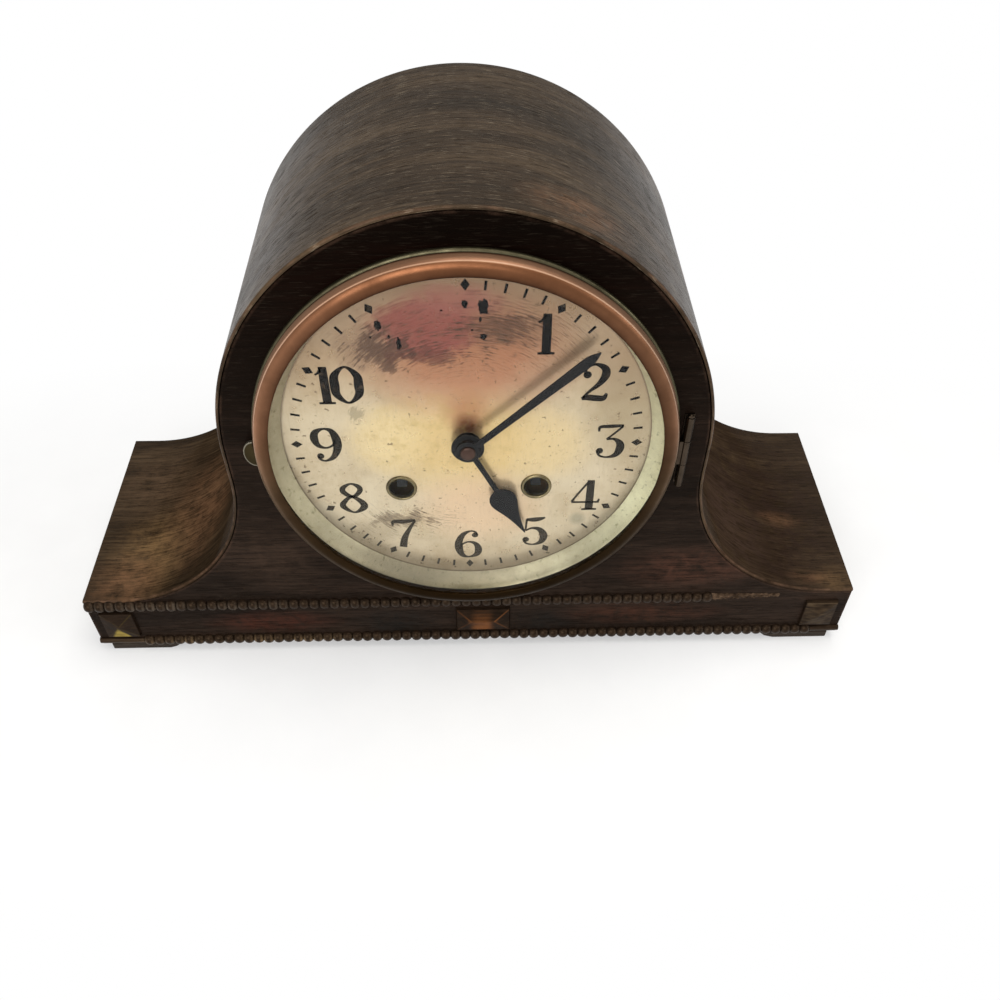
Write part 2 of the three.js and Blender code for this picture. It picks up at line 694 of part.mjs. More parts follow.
function ferrule() {
  const front = DIAL_SETBACK - FERRULE_PROUD;
  return turned([
    [FERRULE_BORE_RADIUS, front + FERRULE_PROUD / 3], [FERRULE_TUBE_RADIUS, front],
    [FERRULE_RADIUS, DIAL_SETBACK - FERRULE_PROUD / 3], [FERRULE_RADIUS, DIAL_SETBACK],
    [FERRULE_TUBE_RADIUS, DIAL_SETBACK], [FERRULE_TUBE_RADIUS, DIAL_BACK + FERRULE_TAIL],
    [FERRULE_BORE_RADIUS, DIAL_BACK + FERRULE_TAIL],
  ], FERRULE_SIDES);
}

place(dialCentre, 'dial_flange', dialFlange(), BRASS);
place(dialCentre, 'reflector_ring', reflectorRing(), SILVERED);
place(dialCentre, 'dial_plate', dialPlate(), SILVERED);
place(dialCentre, 'ferrule_left', ferrule(), BRASS, -WINDING_X, -WINDING_DROP);
place(dialCentre, 'ferrule_right', ferrule(), BRASS, WINDING_X, -WINDING_DROP);

// Bezel: a rounded ring with a rebate behind its lip for the domed glass
function bezelRing() {
  const rounded = [];
  const steps = 3;
  for (let step = 0; step <= steps; step += 1) {
    const angle = (Math.PI / 2) * (step / steps);
    rounded.push([
      BEZEL_LIP_RADIUS + BEZEL_WIDTH * Math.cos(angle),
      BEZEL_BACK - BEZEL_DEPTH * Math.sin(angle),
    ]);
  }
  const seatRadius = BEZEL_RADIUS - BEZEL_WALL;
  return turned([
    ...rounded, [BEZEL_LIP_RADIUS, BEZEL_FRONT + BEZEL_LIP],
    [seatRadius, BEZEL_FRONT + BEZEL_LIP], [seatRadius, BEZEL_BACK],
  ], RING_SIDES);
}

function domePoints(radius, rimY, rise, steps) {
  const points = [];
  for (let step = 0; step <= steps; step += 1) {
    const share = step / steps;
    points.push([radius * share, rimY - rise * (1 - share * share)]);
  }
  return points;
}

function bezelGlass() {
  const rimRadius = BEZEL_RADIUS - BEZEL_WALL - DIAL_GAP;
  const domeRadius = BEZEL_LIP_RADIUS - DIAL_GAP;
  const back = GLASS_SEAT + GLASS_THICKNESS;
  return turned([
    ...domePoints(domeRadius, GLASS_SEAT, GLASS_RISE, 3), [rimRadius, GLASS_SEAT], [rimRadius, back],
    ...domePoints(domeRadius - GLASS_THICKNESS, back, GLASS_RISE, 2).reverse(),
  ], RING_SIDES);
}

// Half-round thumb piece on the side away from the hinge
function thumbTab() {
  const outline = [];
  for (let step = 0; step <= PIECE_SIDES; step += 1) {
    const angle = Math.PI / 2 + (Math.PI * step) / PIECE_SIDES;
    const across = THUMB_TAB_REACH * Math.cos(angle);
    const up = THUMB_TAB_HALF_HEIGHT * Math.sin(angle);
    outline.push(new THREE.Vector2(across, up));
  }
  return slab(outline, BEZEL_BACK - THUMB_TAB_THICKNESS, BEZEL_BACK);
}

const bezelKnuckles = knuckleSpans(BEZEL_HINGE_LENGTH);
const bezelHinge = new THREE.Group();
bezelHinge.position.set(BEZEL_HINGE_X, BEZEL_HINGE_Y, 0);
dialCentre.add(bezelHinge);

function bezelBracket() {
  const half = BEZEL_HINGE_LENGTH / 2;
  const face = -BEZEL_HINGE_Y;
  const left = -BEZEL_HINGE_STANDOFF + FLANGE_MARGIN + DIAL_GAP;
  const plate = block(
    [left, left + BEZEL_BRACKET_WIDTH],
    [face - BEZEL_BRACKET_THICKNESS, face],
    [-half, half],
  );
  const reach = BEZEL_BARREL_RADIUS * 0.6;
  const sections = bezelKnuckles.fixed.map(([low, high]) => cut(
    joined(
      uprightTube(PIN_BORE_RADIUS, BEZEL_BARREL_RADIUS, low, high),
      block([-reach, reach], [PIN_BORE_RADIUS, face], [low, high]),
    ),
    uprightTube(0, PIN_BORE_RADIUS, low - 1, high + 1),
  ));
  return joined(plate, ...sections);
}

function bezelKnuckle() {
  const [low, high] = bezelKnuckles.moving[0];
  const bezelSide = -BEZEL_HINGE_STANDOFF + DIAL_GAP;
  const arm = block(
    [bezelSide, -PIN_BORE_RADIUS],
    [-BEZEL_BARREL_RADIUS * 0.5, BEZEL_BARREL_RADIUS * 0.4],
    [low, high],
  );
  return joined(uprightTube(PIN_BORE_RADIUS, BEZEL_BARREL_RADIUS, low, high), arm);
}

place(dialCentre, 'bezel_ring', bezelRing(), COPPER_BRASS);
place(dialCentre, 'bezel_glass', bezelGlass(), GLASS);
place(dialCentre, 'bezel_thumb_tab', thumbTab(), COPPER_BRASS, -BEZEL_RADIUS - DIAL_GAP, THUMB_TAB_RISE);
place(bezelHinge, 'bezel_hinge_bracket', bezelBracket(), BRASS);
place(bezelHinge, 'bezel_hinge_knuckle', bezelKnuckle(), COPPER_BRASS);
place(bezelHinge, 'bezel_hinge_pin', hingePin(BEZEL_HINGE_LENGTH), BRASS);

// Hands point up before they are turned to their time
function minuteHand() {
  const back = MINUTE_HAND_BACK;
  const front = back - HAND_THICKNESS;
  const blade = [
    [-MINUTE_ROOT_WIDTH / 2, 0], [MINUTE_ROOT_WIDTH / 2, 0], [MINUTE_BROAD_WIDTH / 2, MINUTE_BROAD_AT],
    [0, MINUTE_LENGTH], [-MINUTE_BROAD_WIDTH / 2, MINUTE_BROAD_AT],
  ].map(([x, z]) => new THREE.Vector2(x, z));
  const bore = boreRadius(CANNON_RADIUS, RUNNING_CLEARANCE, PIECE_SIDES);
  return cut(
    joined(slab(blade, front, back), cylinderY(MINUTE_BOSS_RADIUS, front, back, KNOB_SIDES)),
    cylinderY(bore, front - 1, back + 1, PIECE_SIDES),
  );
}

function hourHand() {
  const back = HOUR_HAND_BACK;
  const front = back - HAND_THICKNESS;
  const shaft = HOUR_SHAFT_WIDTH / 2;
  const broad = HOUR_SPADE_WIDTH / 2;
  const shape = new THREE.Shape();
  shape.moveTo(-shaft, 0);
  shape.lineTo(shaft, 0);
  shape.lineTo(shaft, HOUR_SPADE_AT);
  shape.quadraticCurveTo(broad, HOUR_SPADE_AT, broad, HOUR_SPADE_BROAD_AT);
  shape.quadraticCurveTo(broad, (HOUR_SPADE_BROAD_AT + HOUR_LENGTH) / 2, 0, HOUR_LENGTH);
  shape.quadraticCurveTo(-broad, (HOUR_SPADE_BROAD_AT + HOUR_LENGTH) / 2, -broad, HOUR_SPADE_BROAD_AT);
  shape.quadraticCurveTo(-broad, HOUR_SPADE_AT, -shaft, HOUR_SPADE_AT);
  const bore = boreRadius(HOUR_PIPE_RADIUS, RUNNING_CLEARANCE, PIECE_SIDES);
  return cut(
    joined(slab(shape.getPoints(5), front, back), cylinderY(HOUR_BOSS_RADIUS, front, back, KNOB_SIDES)),
    cylinderY(bore, front - 1, back + 1, PIECE_SIDES),
  );
}

function handNut() {
  const back = MINUTE_HAND_BACK - HAND_THICKNESS;
  const bore = boreRadius(CANNON_RADIUS, RUNNING_CLEARANCE, PIECE_SIDES);
  const boreFront = back - HAND_NUT_LENGTH / 2;
  return turned([
    [0, HAND_NUT_FRONT], [HAND_NUT_RADIUS * 0.8, HAND_NUT_FRONT], [HAND_NUT_RADIUS, boreFront],
    [HAND_NUT_RADIUS, back], [bore, back], [bore, boreFront], [0, boreFront],
  ], PIECE_SIDES);
}

place(dialCentre, 'minute_hand', minuteHand(), BLUED, 0, 0, MINUTE_ANGLE);
place(dialCentre, 'hour_hand', hourHand(), BLUED, 0, 0, HOUR_ANGLE);
place(dialCentre, 'hand_nut', handNut(), BRASS, 0, 0, MINUTE_ANGLE);

// Wheels: teeth as a zigzag round the pitch circle, with the spokes left by sector cut-outs
function toothedRim(teeth, module, addendum, dedendum, firstTooth) {
  const pitch = (2 * Math.PI) / teeth;
  const pitchRadius = (teeth * module) / 2;
  const points = [];
  for (let tooth = 0; tooth < teeth; tooth += 1) {
    const angle = firstTooth + tooth * pitch;
    points.push(polar(pitchRadius + addendum * module, angle));
    points.push(polar(pitchRadius - dedendum * module, angle + pitch / 2));
  }
  return points;
}

function crossings(hubRadius, rimRadius) {
  const holes = [];
  for (let spoke = 0; spoke < SPOKES; spoke += 1) {
    const from = ((2 * Math.PI) / SPOKES) * spoke;
    const to = from + (2 * Math.PI) / SPOKES;
    const outerSpare = SPOKE_WIDTH / 2 / rimRadius;
    const innerSpare = SPOKE_WIDTH / 2 / hubRadius;
    holes.push([
      ...arcPoints(0, 0, rimRadius, from + outerSpare, to - outerSpare, 5),
      ...arcPoints(0, 0, hubRadius, to - innerSpare, from + innerSpare, 1),
    ]);
  }
  return holes;
}

function wheelDisc(teeth, module, front, firstTooth, crossed) {
  const rim = toothedRim(teeth, module, ADDENDUM, DEDENDUM, firstTooth);
  const rootRadius = (teeth * module) / 2 - DEDENDUM * module;
  const hubRadius = Math.max(rootRadius * 0.26, 2.4);
  const holes = crossed ? crossings(hubRadius, rootRadius - RIM_WIDTH) : [];
  return slab(rim, front, front + WHEEL_THICKNESS, holes);
}

function pinionHead(leaves, module, front, back, firstLeaf) {
  return slab(toothedRim(leaves, module, LEAF_ADDENDUM, LEAF_DEDENDUM, firstLeaf), front, back);
}

function plateArbor() {
  return cylinderY(ARBOR_RADIUS, PLATE_FRONT, PLATE_BACK, ARBOR_SIDES);
}

// Distance at which a wheel and a pinion of one module run together
function meshDistance(teeth, leaves, module) {
  return ((teeth + leaves) * module) / 2 + MESH_EASE * module;
}

function towards(from, to) {
  return Math.atan2(to.y - from.y, to.x - from.x);
}

// A pinion shows a gap where its wheel shows a tooth
function firstLeafFacing(pinionPlace, wheelPlace, leaves) {
  return towards(pinionPlace, wheelPlace) + Math.PI / leaves;
}

// Point at given distances from two others, on the upper side
function meetingPoint(a, distanceA, b, distanceB) {
  const span = b.clone().sub(a);
  const apart = span.length();
  const along = (distanceA ** 2 - distanceB ** 2 + apart ** 2) / (2 * apart);
  const aside = Math.sqrt(Math.max(distanceA ** 2 - along ** 2, 0));
  const direction = span.normalize();
  const sideways = new THREE.Vector2(-direction.y, direction.x);
  if (sideways.y < 0) {
    sideways.negate();
  }
  return a.clone().addScaledVector(direction, along).addScaledVector(sideways, aside);
}

function stepFrom(start, distance, degrees) {
  return start.clone().add(polar(distance, THREE.MathUtils.degToRad(degrees)));
}

// Where each arbor stands, from the centre of the dial
const GREAT_TO_SECOND = meshDistance(GREAT_TEETH, PINION_LEAVES, GREAT_MODULE);
const SECOND_TO_NEXT = meshDistance(SECOND_TEETH, PINION_LEAVES, SECOND_MODULE);
const CENTRE_TO_THIRD = meshDistance(CENTRE_TEETH, PINION_LEAVES, CENTRE_MODULE);
const THIRD_TO_ESCAPE = meshDistance(THIRD_TEETH, PINION_LEAVES, THIRD_MODULE);
const PIN_TO_WARNING = meshDistance(PIN_TEETH, PINION_LEAVES, PIN_MODULE);
const WARNING_TO_FLY = meshDistance(WARNING_TEETH, PINION_LEAVES, WARNING_MODULE);
const CANNON_TO_MINUTE = meshDistance(MINUTE_WHEEL_TEETH, CANNON_TEETH, CANNON_MODULE);
const CANNON_PAIR_TEETH = MINUTE_WHEEL_TEETH + CANNON_TEETH;
const HOUR_PAIR_TEETH = HOUR_WHEEL_TEETH + MINUTE_PINION_TEETH;
const HOUR_MODULE = (CANNON_MODULE * CANNON_PAIR_TEETH) / HOUR_PAIR_TEETH;

const at = {};
at.centre = new THREE.Vector2(0, 0);
at.goingBarrel = new THREE.Vector2(WINDING_X, -WINDING_DROP);
at.strikeBarrel = new THREE.Vector2(-WINDING_X, -WINDING_DROP);
at.second = meetingPoint(at.goingBarrel, GREAT_TO_SECOND, at.centre, SECOND_TO_NEXT);
at.third = stepFrom(at.centre, CENTRE_TO_THIRD, 90);
at.escape = stepFrom(at.third, THIRD_TO_ESCAPE, 90);
at.pallets = stepFrom(at.escape, PALLET_DISTANCE, 90);
at.strikeSecond = new THREE.Vector2(-at.second.x, at.second.y);
at.pinWheel = stepFrom(at.strikeSecond, SECOND_TO_NEXT, 120);
at.warning = stepFrom(at.pinWheel, PIN_TO_WARNING, 60);
at.fly = stepFrom(at.warning, WARNING_TO_FLY, 135);
at.minuteWheel = stepFrom(at.centre, CANNON_TO_MINUTE, -90);
at.hammer = new THREE.Vector2(HAMMER_X, HAMMER_Z);

// The pendulum hangs as low as the room over the plinth floor allows
const PLINTH_FLOOR = FOOT_HEIGHT + BASE_THICKNESS - DIAL_Z;
const RATING_NUT_BOTTOM = PLINTH_FLOOR + PENDULUM_FLOOR_ROOM;
const BOB_BOTTOM = RATING_NUT_BOTTOM + RATING_NUT_LENGTH + WOOD_GAP;
const PENDULUM_LENGTH = at.pallets.y - BOB_BOTTOM - BOB_RADIUS;

// Depth of each wheel behind the inside of the front plate
const PINION_REACH = WHEEL_THICKNESS + PINION_EXTRA;
const SECOND_WHEEL_Y = INSIDE_FRONT + PINION_EXTRA + WHEEL_SPACING / 2;
const CENTRE_WHEEL_Y = SECOND_WHEEL_Y + PINION_REACH + WHEEL_SPACING;
const BARREL_Y = CENTRE_WHEEL_Y + PINION_REACH + WHEEL_SPACING;
const GREAT_WHEEL_Y = BARREL_Y + BARREL_LENGTH;
const STRIKE_SECOND_Y = GREAT_WHEEL_Y + PINION_REACH + WHEEL_SPACING / 2;
const THIRD_WHEEL_Y = BARREL_Y + PINION_REACH + WHEEL_SPACING / 2;
const WARNING_WHEEL_Y = THIRD_WHEEL_Y + WARNING_SETBACK;
const PIN_WHEEL_Y = WARNING_WHEEL_Y + PIN_WHEEL_SETBACK;
const ESCAPE_WHEEL_Y = THIRD_WHEEL_Y + ESCAPE_SETBACK;
const FLY_Y = PIN_WHEEL_Y + WHEEL_THICKNESS + LIFTING_PIN_LENGTH;

// One arbor with a pinion driven by its neighbour and a wheel that drives the next
function trainPiece(options) {
  const pinionFront = options.pinionY - PINION_EXTRA;
  const pinionBack = options.pinionY + WHEEL_THICKNESS + PINION_EXTRA;
  return joined(
    plateArbor(),
    pinionHead(options.leaves, options.pinionModule, pinionFront, pinionBack, options.firstLeaf),
    wheelDisc(options.teeth, options.wheelModule, options.wheelY, options.firstTooth, options.crossed),
  );
}

function secondWheel(place, barrel, next, wheelY) {
  return trainPiece({
    pinionY: GREAT_WHEEL_Y,
    leaves: PINION_LEAVES,
    pinionModule: GREAT_MODULE,
    firstLeaf: firstLeafFacing(place, barrel, PINION_LEAVES),
    wheelY,
    teeth: SECOND_TEETH,
    wheelModule: SECOND_MODULE,
    firstTooth: towards(place, next),
    crossed: true,
  });
}

// The centre arbor runs on through the front plate to carry the cannon pinion
function centreWheel() {
  const pinionFront = SECOND_WHEEL_Y - PINION_EXTRA;
  const arbor = turned([
    [0, MINUTE_HAND_BACK], [CENTRE_ARBOR_RADIUS, MINUTE_HAND_BACK], [CENTRE_ARBOR_RADIUS, CENTRE_WHEEL_Y],
    [ARBOR_RADIUS, CENTRE_WHEEL_Y], [ARBOR_RADIUS, PLATE_BACK], [0, PLATE_BACK],
  ], PIECE_SIDES);
  return joined(
    arbor,
    pinionHead(PINION_LEAVES, SECOND_MODULE, pinionFront, SECOND_WHEEL_Y + WHEEL_THICKNESS + PINION_EXTRA,
      firstLeafFacing(at.centre, at.second, PINION_LEAVES)),
    wheelDisc(CENTRE_TEETH, CENTRE_MODULE, CENTRE_WHEEL_Y, towards(at.centre, at.third), true),
  );
}

function thirdWheel() {
  return trainPiece({
    pinionY: CENTRE_WHEEL_Y,
    leaves: PINION_LEAVES,
    pinionModule: CENTRE_MODULE,
    firstLeaf: firstLeafFacing(at.third, at.centre, PINION_LEAVES),
    wheelY: THIRD_WHEEL_Y,
    teeth: THIRD_TEETH,
    wheelModule: THIRD_MODULE,
    firstTooth: towards(at.third, at.escape),
    crossed: true,
  });
}

// Escape wheel with raked teeth, and the ratchets, share this saw outline
function sawOutline(teeth, radius, depth, rake) {
  const pitch = (2 * Math.PI) / teeth;
  const points = [];
  for (let tooth = 0; tooth < teeth; tooth += 1) {
    points.push(polar(radius, tooth * pitch));
    points.push(polar(radius - depth, (tooth + rake) * pitch));
  }
  return points;
}

function escapeWheel() {
  const rootRadius = ESCAPE_RADIUS - ESCAPE_TOOTH_DEPTH;
  const disc = slab(sawOutline(ESCAPE_TEETH, ESCAPE_RADIUS, ESCAPE_TOOTH_DEPTH, 0.3), ESCAPE_WHEEL_Y,
    ESCAPE_WHEEL_Y + WHEEL_THICKNESS, crossings(2.4, rootRadius - RIM_WIDTH));
  return joined(
    plateArbor(),
    pinionHead(PINION_LEAVES, THIRD_MODULE, THIRD_WHEEL_Y - PINION_EXTRA,
      THIRD_WHEEL_Y + WHEEL_THICKNESS + PINION_EXTRA, firstLeafFacing(at.escape, at.third, PINION_LEAVES)),
    disc,
  );
}

// Strike train after its second wheel
function pinWheel() {
  const pins = [];
  const back = PIN_WHEEL_Y + WHEEL_THICKNESS;
  for (let pin = 0; pin < PIN_COUNT; pin += 1) {
    const spot = polar(PIN_CIRCLE_RADIUS, (2 * Math.PI * (pin + 0.5)) / PIN_COUNT);
    const rod = cylinderY(LIFTING_PIN_RADIUS, PIN_WHEEL_Y, back + LIFTING_PIN_LENGTH, ARBOR_SIDES);
    pins.push(moved(rod, spot.x, 0, spot.y));
  }
  const piece = trainPiece({
    pinionY: STRIKE_SECOND_Y,
    leaves: PINION_LEAVES,
    pinionModule: SECOND_MODULE,
    firstLeaf: firstLeafFacing(at.pinWheel, at.strikeSecond, PINION_LEAVES),
    wheelY: PIN_WHEEL_Y,
    teeth: PIN_TEETH,
    wheelModule: PIN_MODULE,
    firstTooth: towards(at.pinWheel, at.warning),
    crossed: false,
  });
  return joined(piece, ...pins);
}

function warningWheel() {
  return trainPiece({
    pinionY: PIN_WHEEL_Y,
    leaves: PINION_LEAVES,
    pinionModule: PIN_MODULE,
    firstLeaf: firstLeafFacing(at.warning, at.pinWheel, PINION_LEAVES),
    wheelY: WARNING_WHEEL_Y,
    teeth: WARNING_TEETH,
    wheelModule: WARNING_MODULE,
    firstTooth: towards(at.warning, at.fly),
    crossed: false,
  });
}

function fly() {
  const vane = block(
    [-FLY_HALF_WIDTH, FLY_HALF_WIDTH],
    [FLY_Y, FLY_Y + FLY_LENGTH],
    [-FLY_THICKNESS / 2, FLY_THICKNESS / 2],
  );
  return joined(
    plateArbor(),
    pinionHead(PINION_LEAVES, WARNING_MODULE, WARNING_WHEEL_Y - PINION_EXTRA,
      WARNING_WHEEL_Y + WHEEL_THICKNESS + PINION_EXTRA, firstLeafFacing(at.fly, at.warning, PINION_LEAVES)),
    vane,
    cylinderY(FLY_HUB_RADIUS, FLY_Y - COLLAR, FLY_Y + FLY_LENGTH + COLLAR, ARBOR_SIDES),
  );
}

// Spring barrels turn freely on their winding arbors
function barrel(place, next) {
  const bore = boreRadius(WINDING_ARBOR_RADIUS, RUNNING_CLEARANCE, PIECE_SIDES);
  const back = GREAT_WHEEL_Y + WHEEL_THICKNESS;
  const drum = turned([
    [bore, BARREL_Y], [BARREL_CAP_RADIUS, BARREL_Y], [BARREL_CAP_RADIUS, BARREL_Y + BARREL_CAP_RISE],
    [BARREL_RADIUS, BARREL_Y + BARREL_CAP_RISE], [BARREL_RADIUS, back], [bore, back],
  ], KNOB_SIDES);
  const teeth = slab(toothedRim(GREAT_TEETH, GREAT_MODULE, ADDENDUM, DEDENDUM, towards(place, next)),
    GREAT_WHEEL_Y, back, [circlePoints(0, 0, BARREL_CAP_RADIUS, PIECE_SIDES)]);
  return joined(drum, teeth);
}

const RATCHET_Y = PLATE_BACK + END_SHAKE / 2;

function windingArbor() {
  const ratchetBack = RATCHET_Y + RATCHET_THICKNESS;
  const squareFront = DIAL_BACK + WINDING_SQUARE_SETBACK;
  const half = WINDING_SQUARE / 2;
  return joined(
    cylinderY(WINDING_ARBOR_RADIUS, PLATE_FRONT - COLLAR, ratchetBack + COLLAR, PIECE_SIDES),
    block([-half, half], [squareFront, PLATE_FRONT - COLLAR / 2], [-half, half]),
    slab(sawOutline(RATCHET_TEETH, RATCHET_RADIUS, RATCHET_TOOTH_DEPTH, 0.85), RATCHET_Y, ratchetBack),
  );
}

// A click lies beside its ratchet, on a pin through the back plate
function click(side) {
  const nose = -side * (CLICK_LENGTH - RATCHET_TOOTH_DEPTH);
  const outline = [
    [side * 2, 2], [side * 2.4, -1.2], [0, -CLICK_DEPTH], [nose, -1], [nose, 0.4],
    [-side * CLICK_LENGTH * 0.5, 2],
  ].map(([x, z]) => new THREE.Vector2(x, z));
  const back = RATCHET_Y + RATCHET_THICKNESS;
  const pin = cylinderY(CLICK_PIN_RADIUS, INSIDE_BACK, back + COLLAR, PIECE_SIDES);
  return joined(slab(outline, RATCHET_Y, back), pin);
}

const CLICK_Z = RATCHET_RADIUS + CLICK_GAP + CLICK_DEPTH;
at.goingClick = at.goingBarrel.clone().add(new THREE.Vector2(CLICK_X, CLICK_Z));
at.strikeClick = at.strikeBarrel.clone().add(new THREE.Vector2(-CLICK_X, CLICK_Z));

// Plates, drilled for every pivot, with four ears on the front one that screw to the case front
function platePoints() {
  const w = PLATE_HALF_WIDTH - PLATE_CORNER;
  const top = PLATE_TOP - PLATE_CORNER;
  const bottom = PLATE_CORNER - PLATE_BOTTOM;
  const quarter = Math.PI / 2;
  return [
    ...arcPoints(w, top, PLATE_CORNER, 0, quarter, 3),
    ...arcPoints(-w, top, PLATE_CORNER, quarter, 2 * quarter, 3),
    ...arcPoints(-w, bottom, PLATE_CORNER, 2 * quarter, 3 * quarter, 3),
    ...arcPoints(w, bottom, PLATE_CORNER, 3 * quarter, 4 * quarter, 3),
  ];
}

function pillarSpots() {
  const x = PLATE_HALF_WIDTH - PILLAR_INSET;
  return {
    pillar_top_left: new THREE.Vector2(-x, PLATE_TOP - PILLAR_INSET),
    pillar_top_right: new THREE.Vector2(x, PLATE_TOP - PILLAR_INSET),
    pillar_bottom_left: new THREE.Vector2(-x, PILLAR_INSET - PLATE_BOTTOM),
    pillar_bottom_right: new THREE.Vector2(x, PILLAR_INSET - PLATE_BOTTOM),
  };
}

function pivotHole(spot, shaftRadius) {
  return circlePoints(spot.x, spot.y, boreRadius(shaftRadius, RUNNING_CLEARANCE, ARBOR_SIDES), ARBOR_SIDES);
}

function sharedHoles() {
  const small = [at.second, at.third, at.escape, at.strikeSecond, at.pinWheel, at.warning, at.fly];
  return [
    ...small.map((spot) => pivotHole(spot, ARBOR_RADIUS)),
    pivotHole(at.goingBarrel, WINDING_ARBOR_RADIUS),
    pivotHole(at.strikeBarrel, WINDING_ARBOR_RADIUS),
    pivotHole(at.hammer, HAMMER_ARBOR_RADIUS),
    ...Object.values(pillarSpots()).map((spot) => pivotHole(spot, PILLAR_TENON_RADIUS)),
  ];
}

function plateEar(degrees) {
  const from = pillarSpots().pillar_top_right.length() + PILLAR_TENON_RADIUS + EAR_WALL;
  const to = DIAL_HOLE_RADIUS + EAR_OVERLAP;
  const ear = block([from, to], [PLATE_FRONT, INSIDE_FRONT], [-EAR_WIDTH / 2, EAR_WIDTH / 2]);
  ear.rotateY(THREE.MathUtils.degToRad(degrees));
  return ear;
}

function frontPlate() {
  const holes = [
    ...sharedHoles(),
    pivotHole(at.centre, CENTRE_ARBOR_RADIUS),
    pivotHole(at.minuteWheel, ARBOR_RADIUS),
    pivotHole(at.pallets, ARBOR_RADIUS),
  ];
  const plate = slab(platePoints(), PLATE_FRONT, INSIDE_FRONT, holes);
  return joined(plate, ...[45, 135, 225, 315].map(plateEar));
}

function backPlate() {
  const holes = [
    ...sharedHoles(),
    pivotHole(at.centre, ARBOR_RADIUS),
    pivotHole(at.pallets, ARBOR_RADIUS + 1),
    pivotHole(at.goingClick, CLICK_PIN_RADIUS),
    pivotHole(at.strikeClick, CLICK_PIN_RADIUS),
  ];
  return slab(platePoints(), INSIDE_BACK, PLATE_BACK, holes);
}

function pillar() {
  return turned([
    [0, PLATE_FRONT], [PILLAR_TENON_RADIUS, PLATE_FRONT], [PILLAR_TENON_RADIUS, INSIDE_FRONT],
    [PILLAR_RADIUS, INSIDE_FRONT], [PILLAR_RADIUS, INSIDE_BACK],
    [PILLAR_TENON_RADIUS, INSIDE_BACK], [PILLAR_TENON_RADIUS, PLATE_BACK + COLLAR], [0, PLATE_BACK + COLLAR],
  ], ARBOR_SIDES);
}

// Anchor pallets on the arbor whose rear end carries the crutch and its fork
const CRUTCH_Y = PLATE_BACK + COLLAR;
const COCK_Y = PLATE_BACK + COCK_STANDOFF;
const PENDULUM_Y = COCK_Y + COCK_THICKNESS + END_SHAKE;

function pallets() {
  const anchor = [
    [0, 2.8], [-PALLET_SPREAD, 2.6 - PALLET_DROP * 0.7], [-PALLET_SPREAD - 0.4, -PALLET_DROP],
    [-PALLET_SPREAD + 1.4, -PALLET_DROP * 0.8], [-1.6, -2],
    [1.6, -2], [PALLET_SPREAD - 1.4, -PALLET_DROP * 0.8],
    [PALLET_SPREAD + 0.4, -PALLET_DROP], [PALLET_SPREAD, 2.6 - PALLET_DROP * 0.7],
  ].map(([x, z]) => new THREE.Vector2(x, z));
  const crutchBack = CRUTCH_Y + CRUTCH_THICKNESS;
  const forkInner = PENDULUM_WIDTH / 2 + FORK_GAP;
  const forkOuter = forkInner + FORK_PRONG;
  const forkZ = [-CRUTCH_LENGTH, -CRUTCH_LENGTH + CRUTCH_WIDTH];
  const forkBack = PENDULUM_Y + PENDULUM_THICKNESS + COLLAR;
  return joined(
    cylinderY(ARBOR_RADIUS, PLATE_FRONT, COCK_Y + COCK_THICKNESS / 2, ARBOR_SIDES),
    slab(anchor, ESCAPE_WHEEL_Y, ESCAPE_WHEEL_Y + WHEEL_THICKNESS),
    block([-CRUTCH_WIDTH / 2, CRUTCH_WIDTH / 2], [CRUTCH_Y, crutchBack], [-CRUTCH_LENGTH, CRUTCH_WIDTH]),
    block([-forkOuter, forkOuter], [CRUTCH_Y, crutchBack], forkZ),
    block([-forkOuter, -forkInner], [CRUTCH_Y, forkBack], forkZ),
    block([forkInner, forkOuter], [CRUTCH_Y, forkBack], forkZ),
  );
}

// Back cock: a bridge over the crutch with the stud that the pendulum hangs on
function backCock() {
  const half = COCK_SPAN / 2;
  const leg = COCK_SPAN / 6;
  const z = [-COCK_HEIGHT / 2, COCK_HEIGHT / 2];
  const bridge = block([-half, half], [COCK_Y, COCK_Y + COCK_THICKNESS], z);
  const bore = boreRadius(ARBOR_RADIUS, RUNNING_CLEARANCE, ARBOR_SIDES);
  const pivotEnd = COCK_Y + COCK_THICKNESS / 2 + RUNNING_CLEARANCE;
  const studFront = COCK_Y + COCK_THICKNESS * 0.75;
  return cut(
    joined(
      bridge,
      block([-half, -half + leg], [PLATE_BACK, COCK_Y + COCK_THICKNESS], z),
      block([half - leg, half], [PLATE_BACK, COCK_Y + COCK_THICKNESS], z),
      cylinderY(SUSPENSION_STUD_RADIUS, studFront, PENDULUM_Y + PENDULUM_THICKNESS + COLLAR, PIECE_SIDES),
    ),
    cylinderY(bore, COCK_Y - 1, pivotEnd, ARBOR_SIDES),
  );
}

function pendulumRod() {
  const front = PENDULUM_Y;
  const back = PENDULUM_Y + PENDULUM_THICKNESS;
  const eye = boreRadius(SUSPENSION_STUD_RADIUS, RUNNING_CLEARANCE, PIECE_SIDES);
  const half = PENDULUM_WIDTH / 2;
  const nutTop = -PENDULUM_LENGTH - BOB_RADIUS - WOOD_GAP;
  const nutMiddle = nutTop - RATING_NUT_LENGTH / 2;
  const nut = uprightTube(0, RATING_NUT_RADIUS, nutTop - RATING_NUT_LENGTH, nutTop);
  nut.translate(0, (front + back) / 2, 0);
  return joined(
    tubeY(eye, eye + PENDULUM_EYE_WALL, front, back, PIECE_SIDES),
    block([-half, half], [front, back], [nutMiddle, -eye - PENDULUM_EYE_WALL / 2]),
    nut,
  );
}

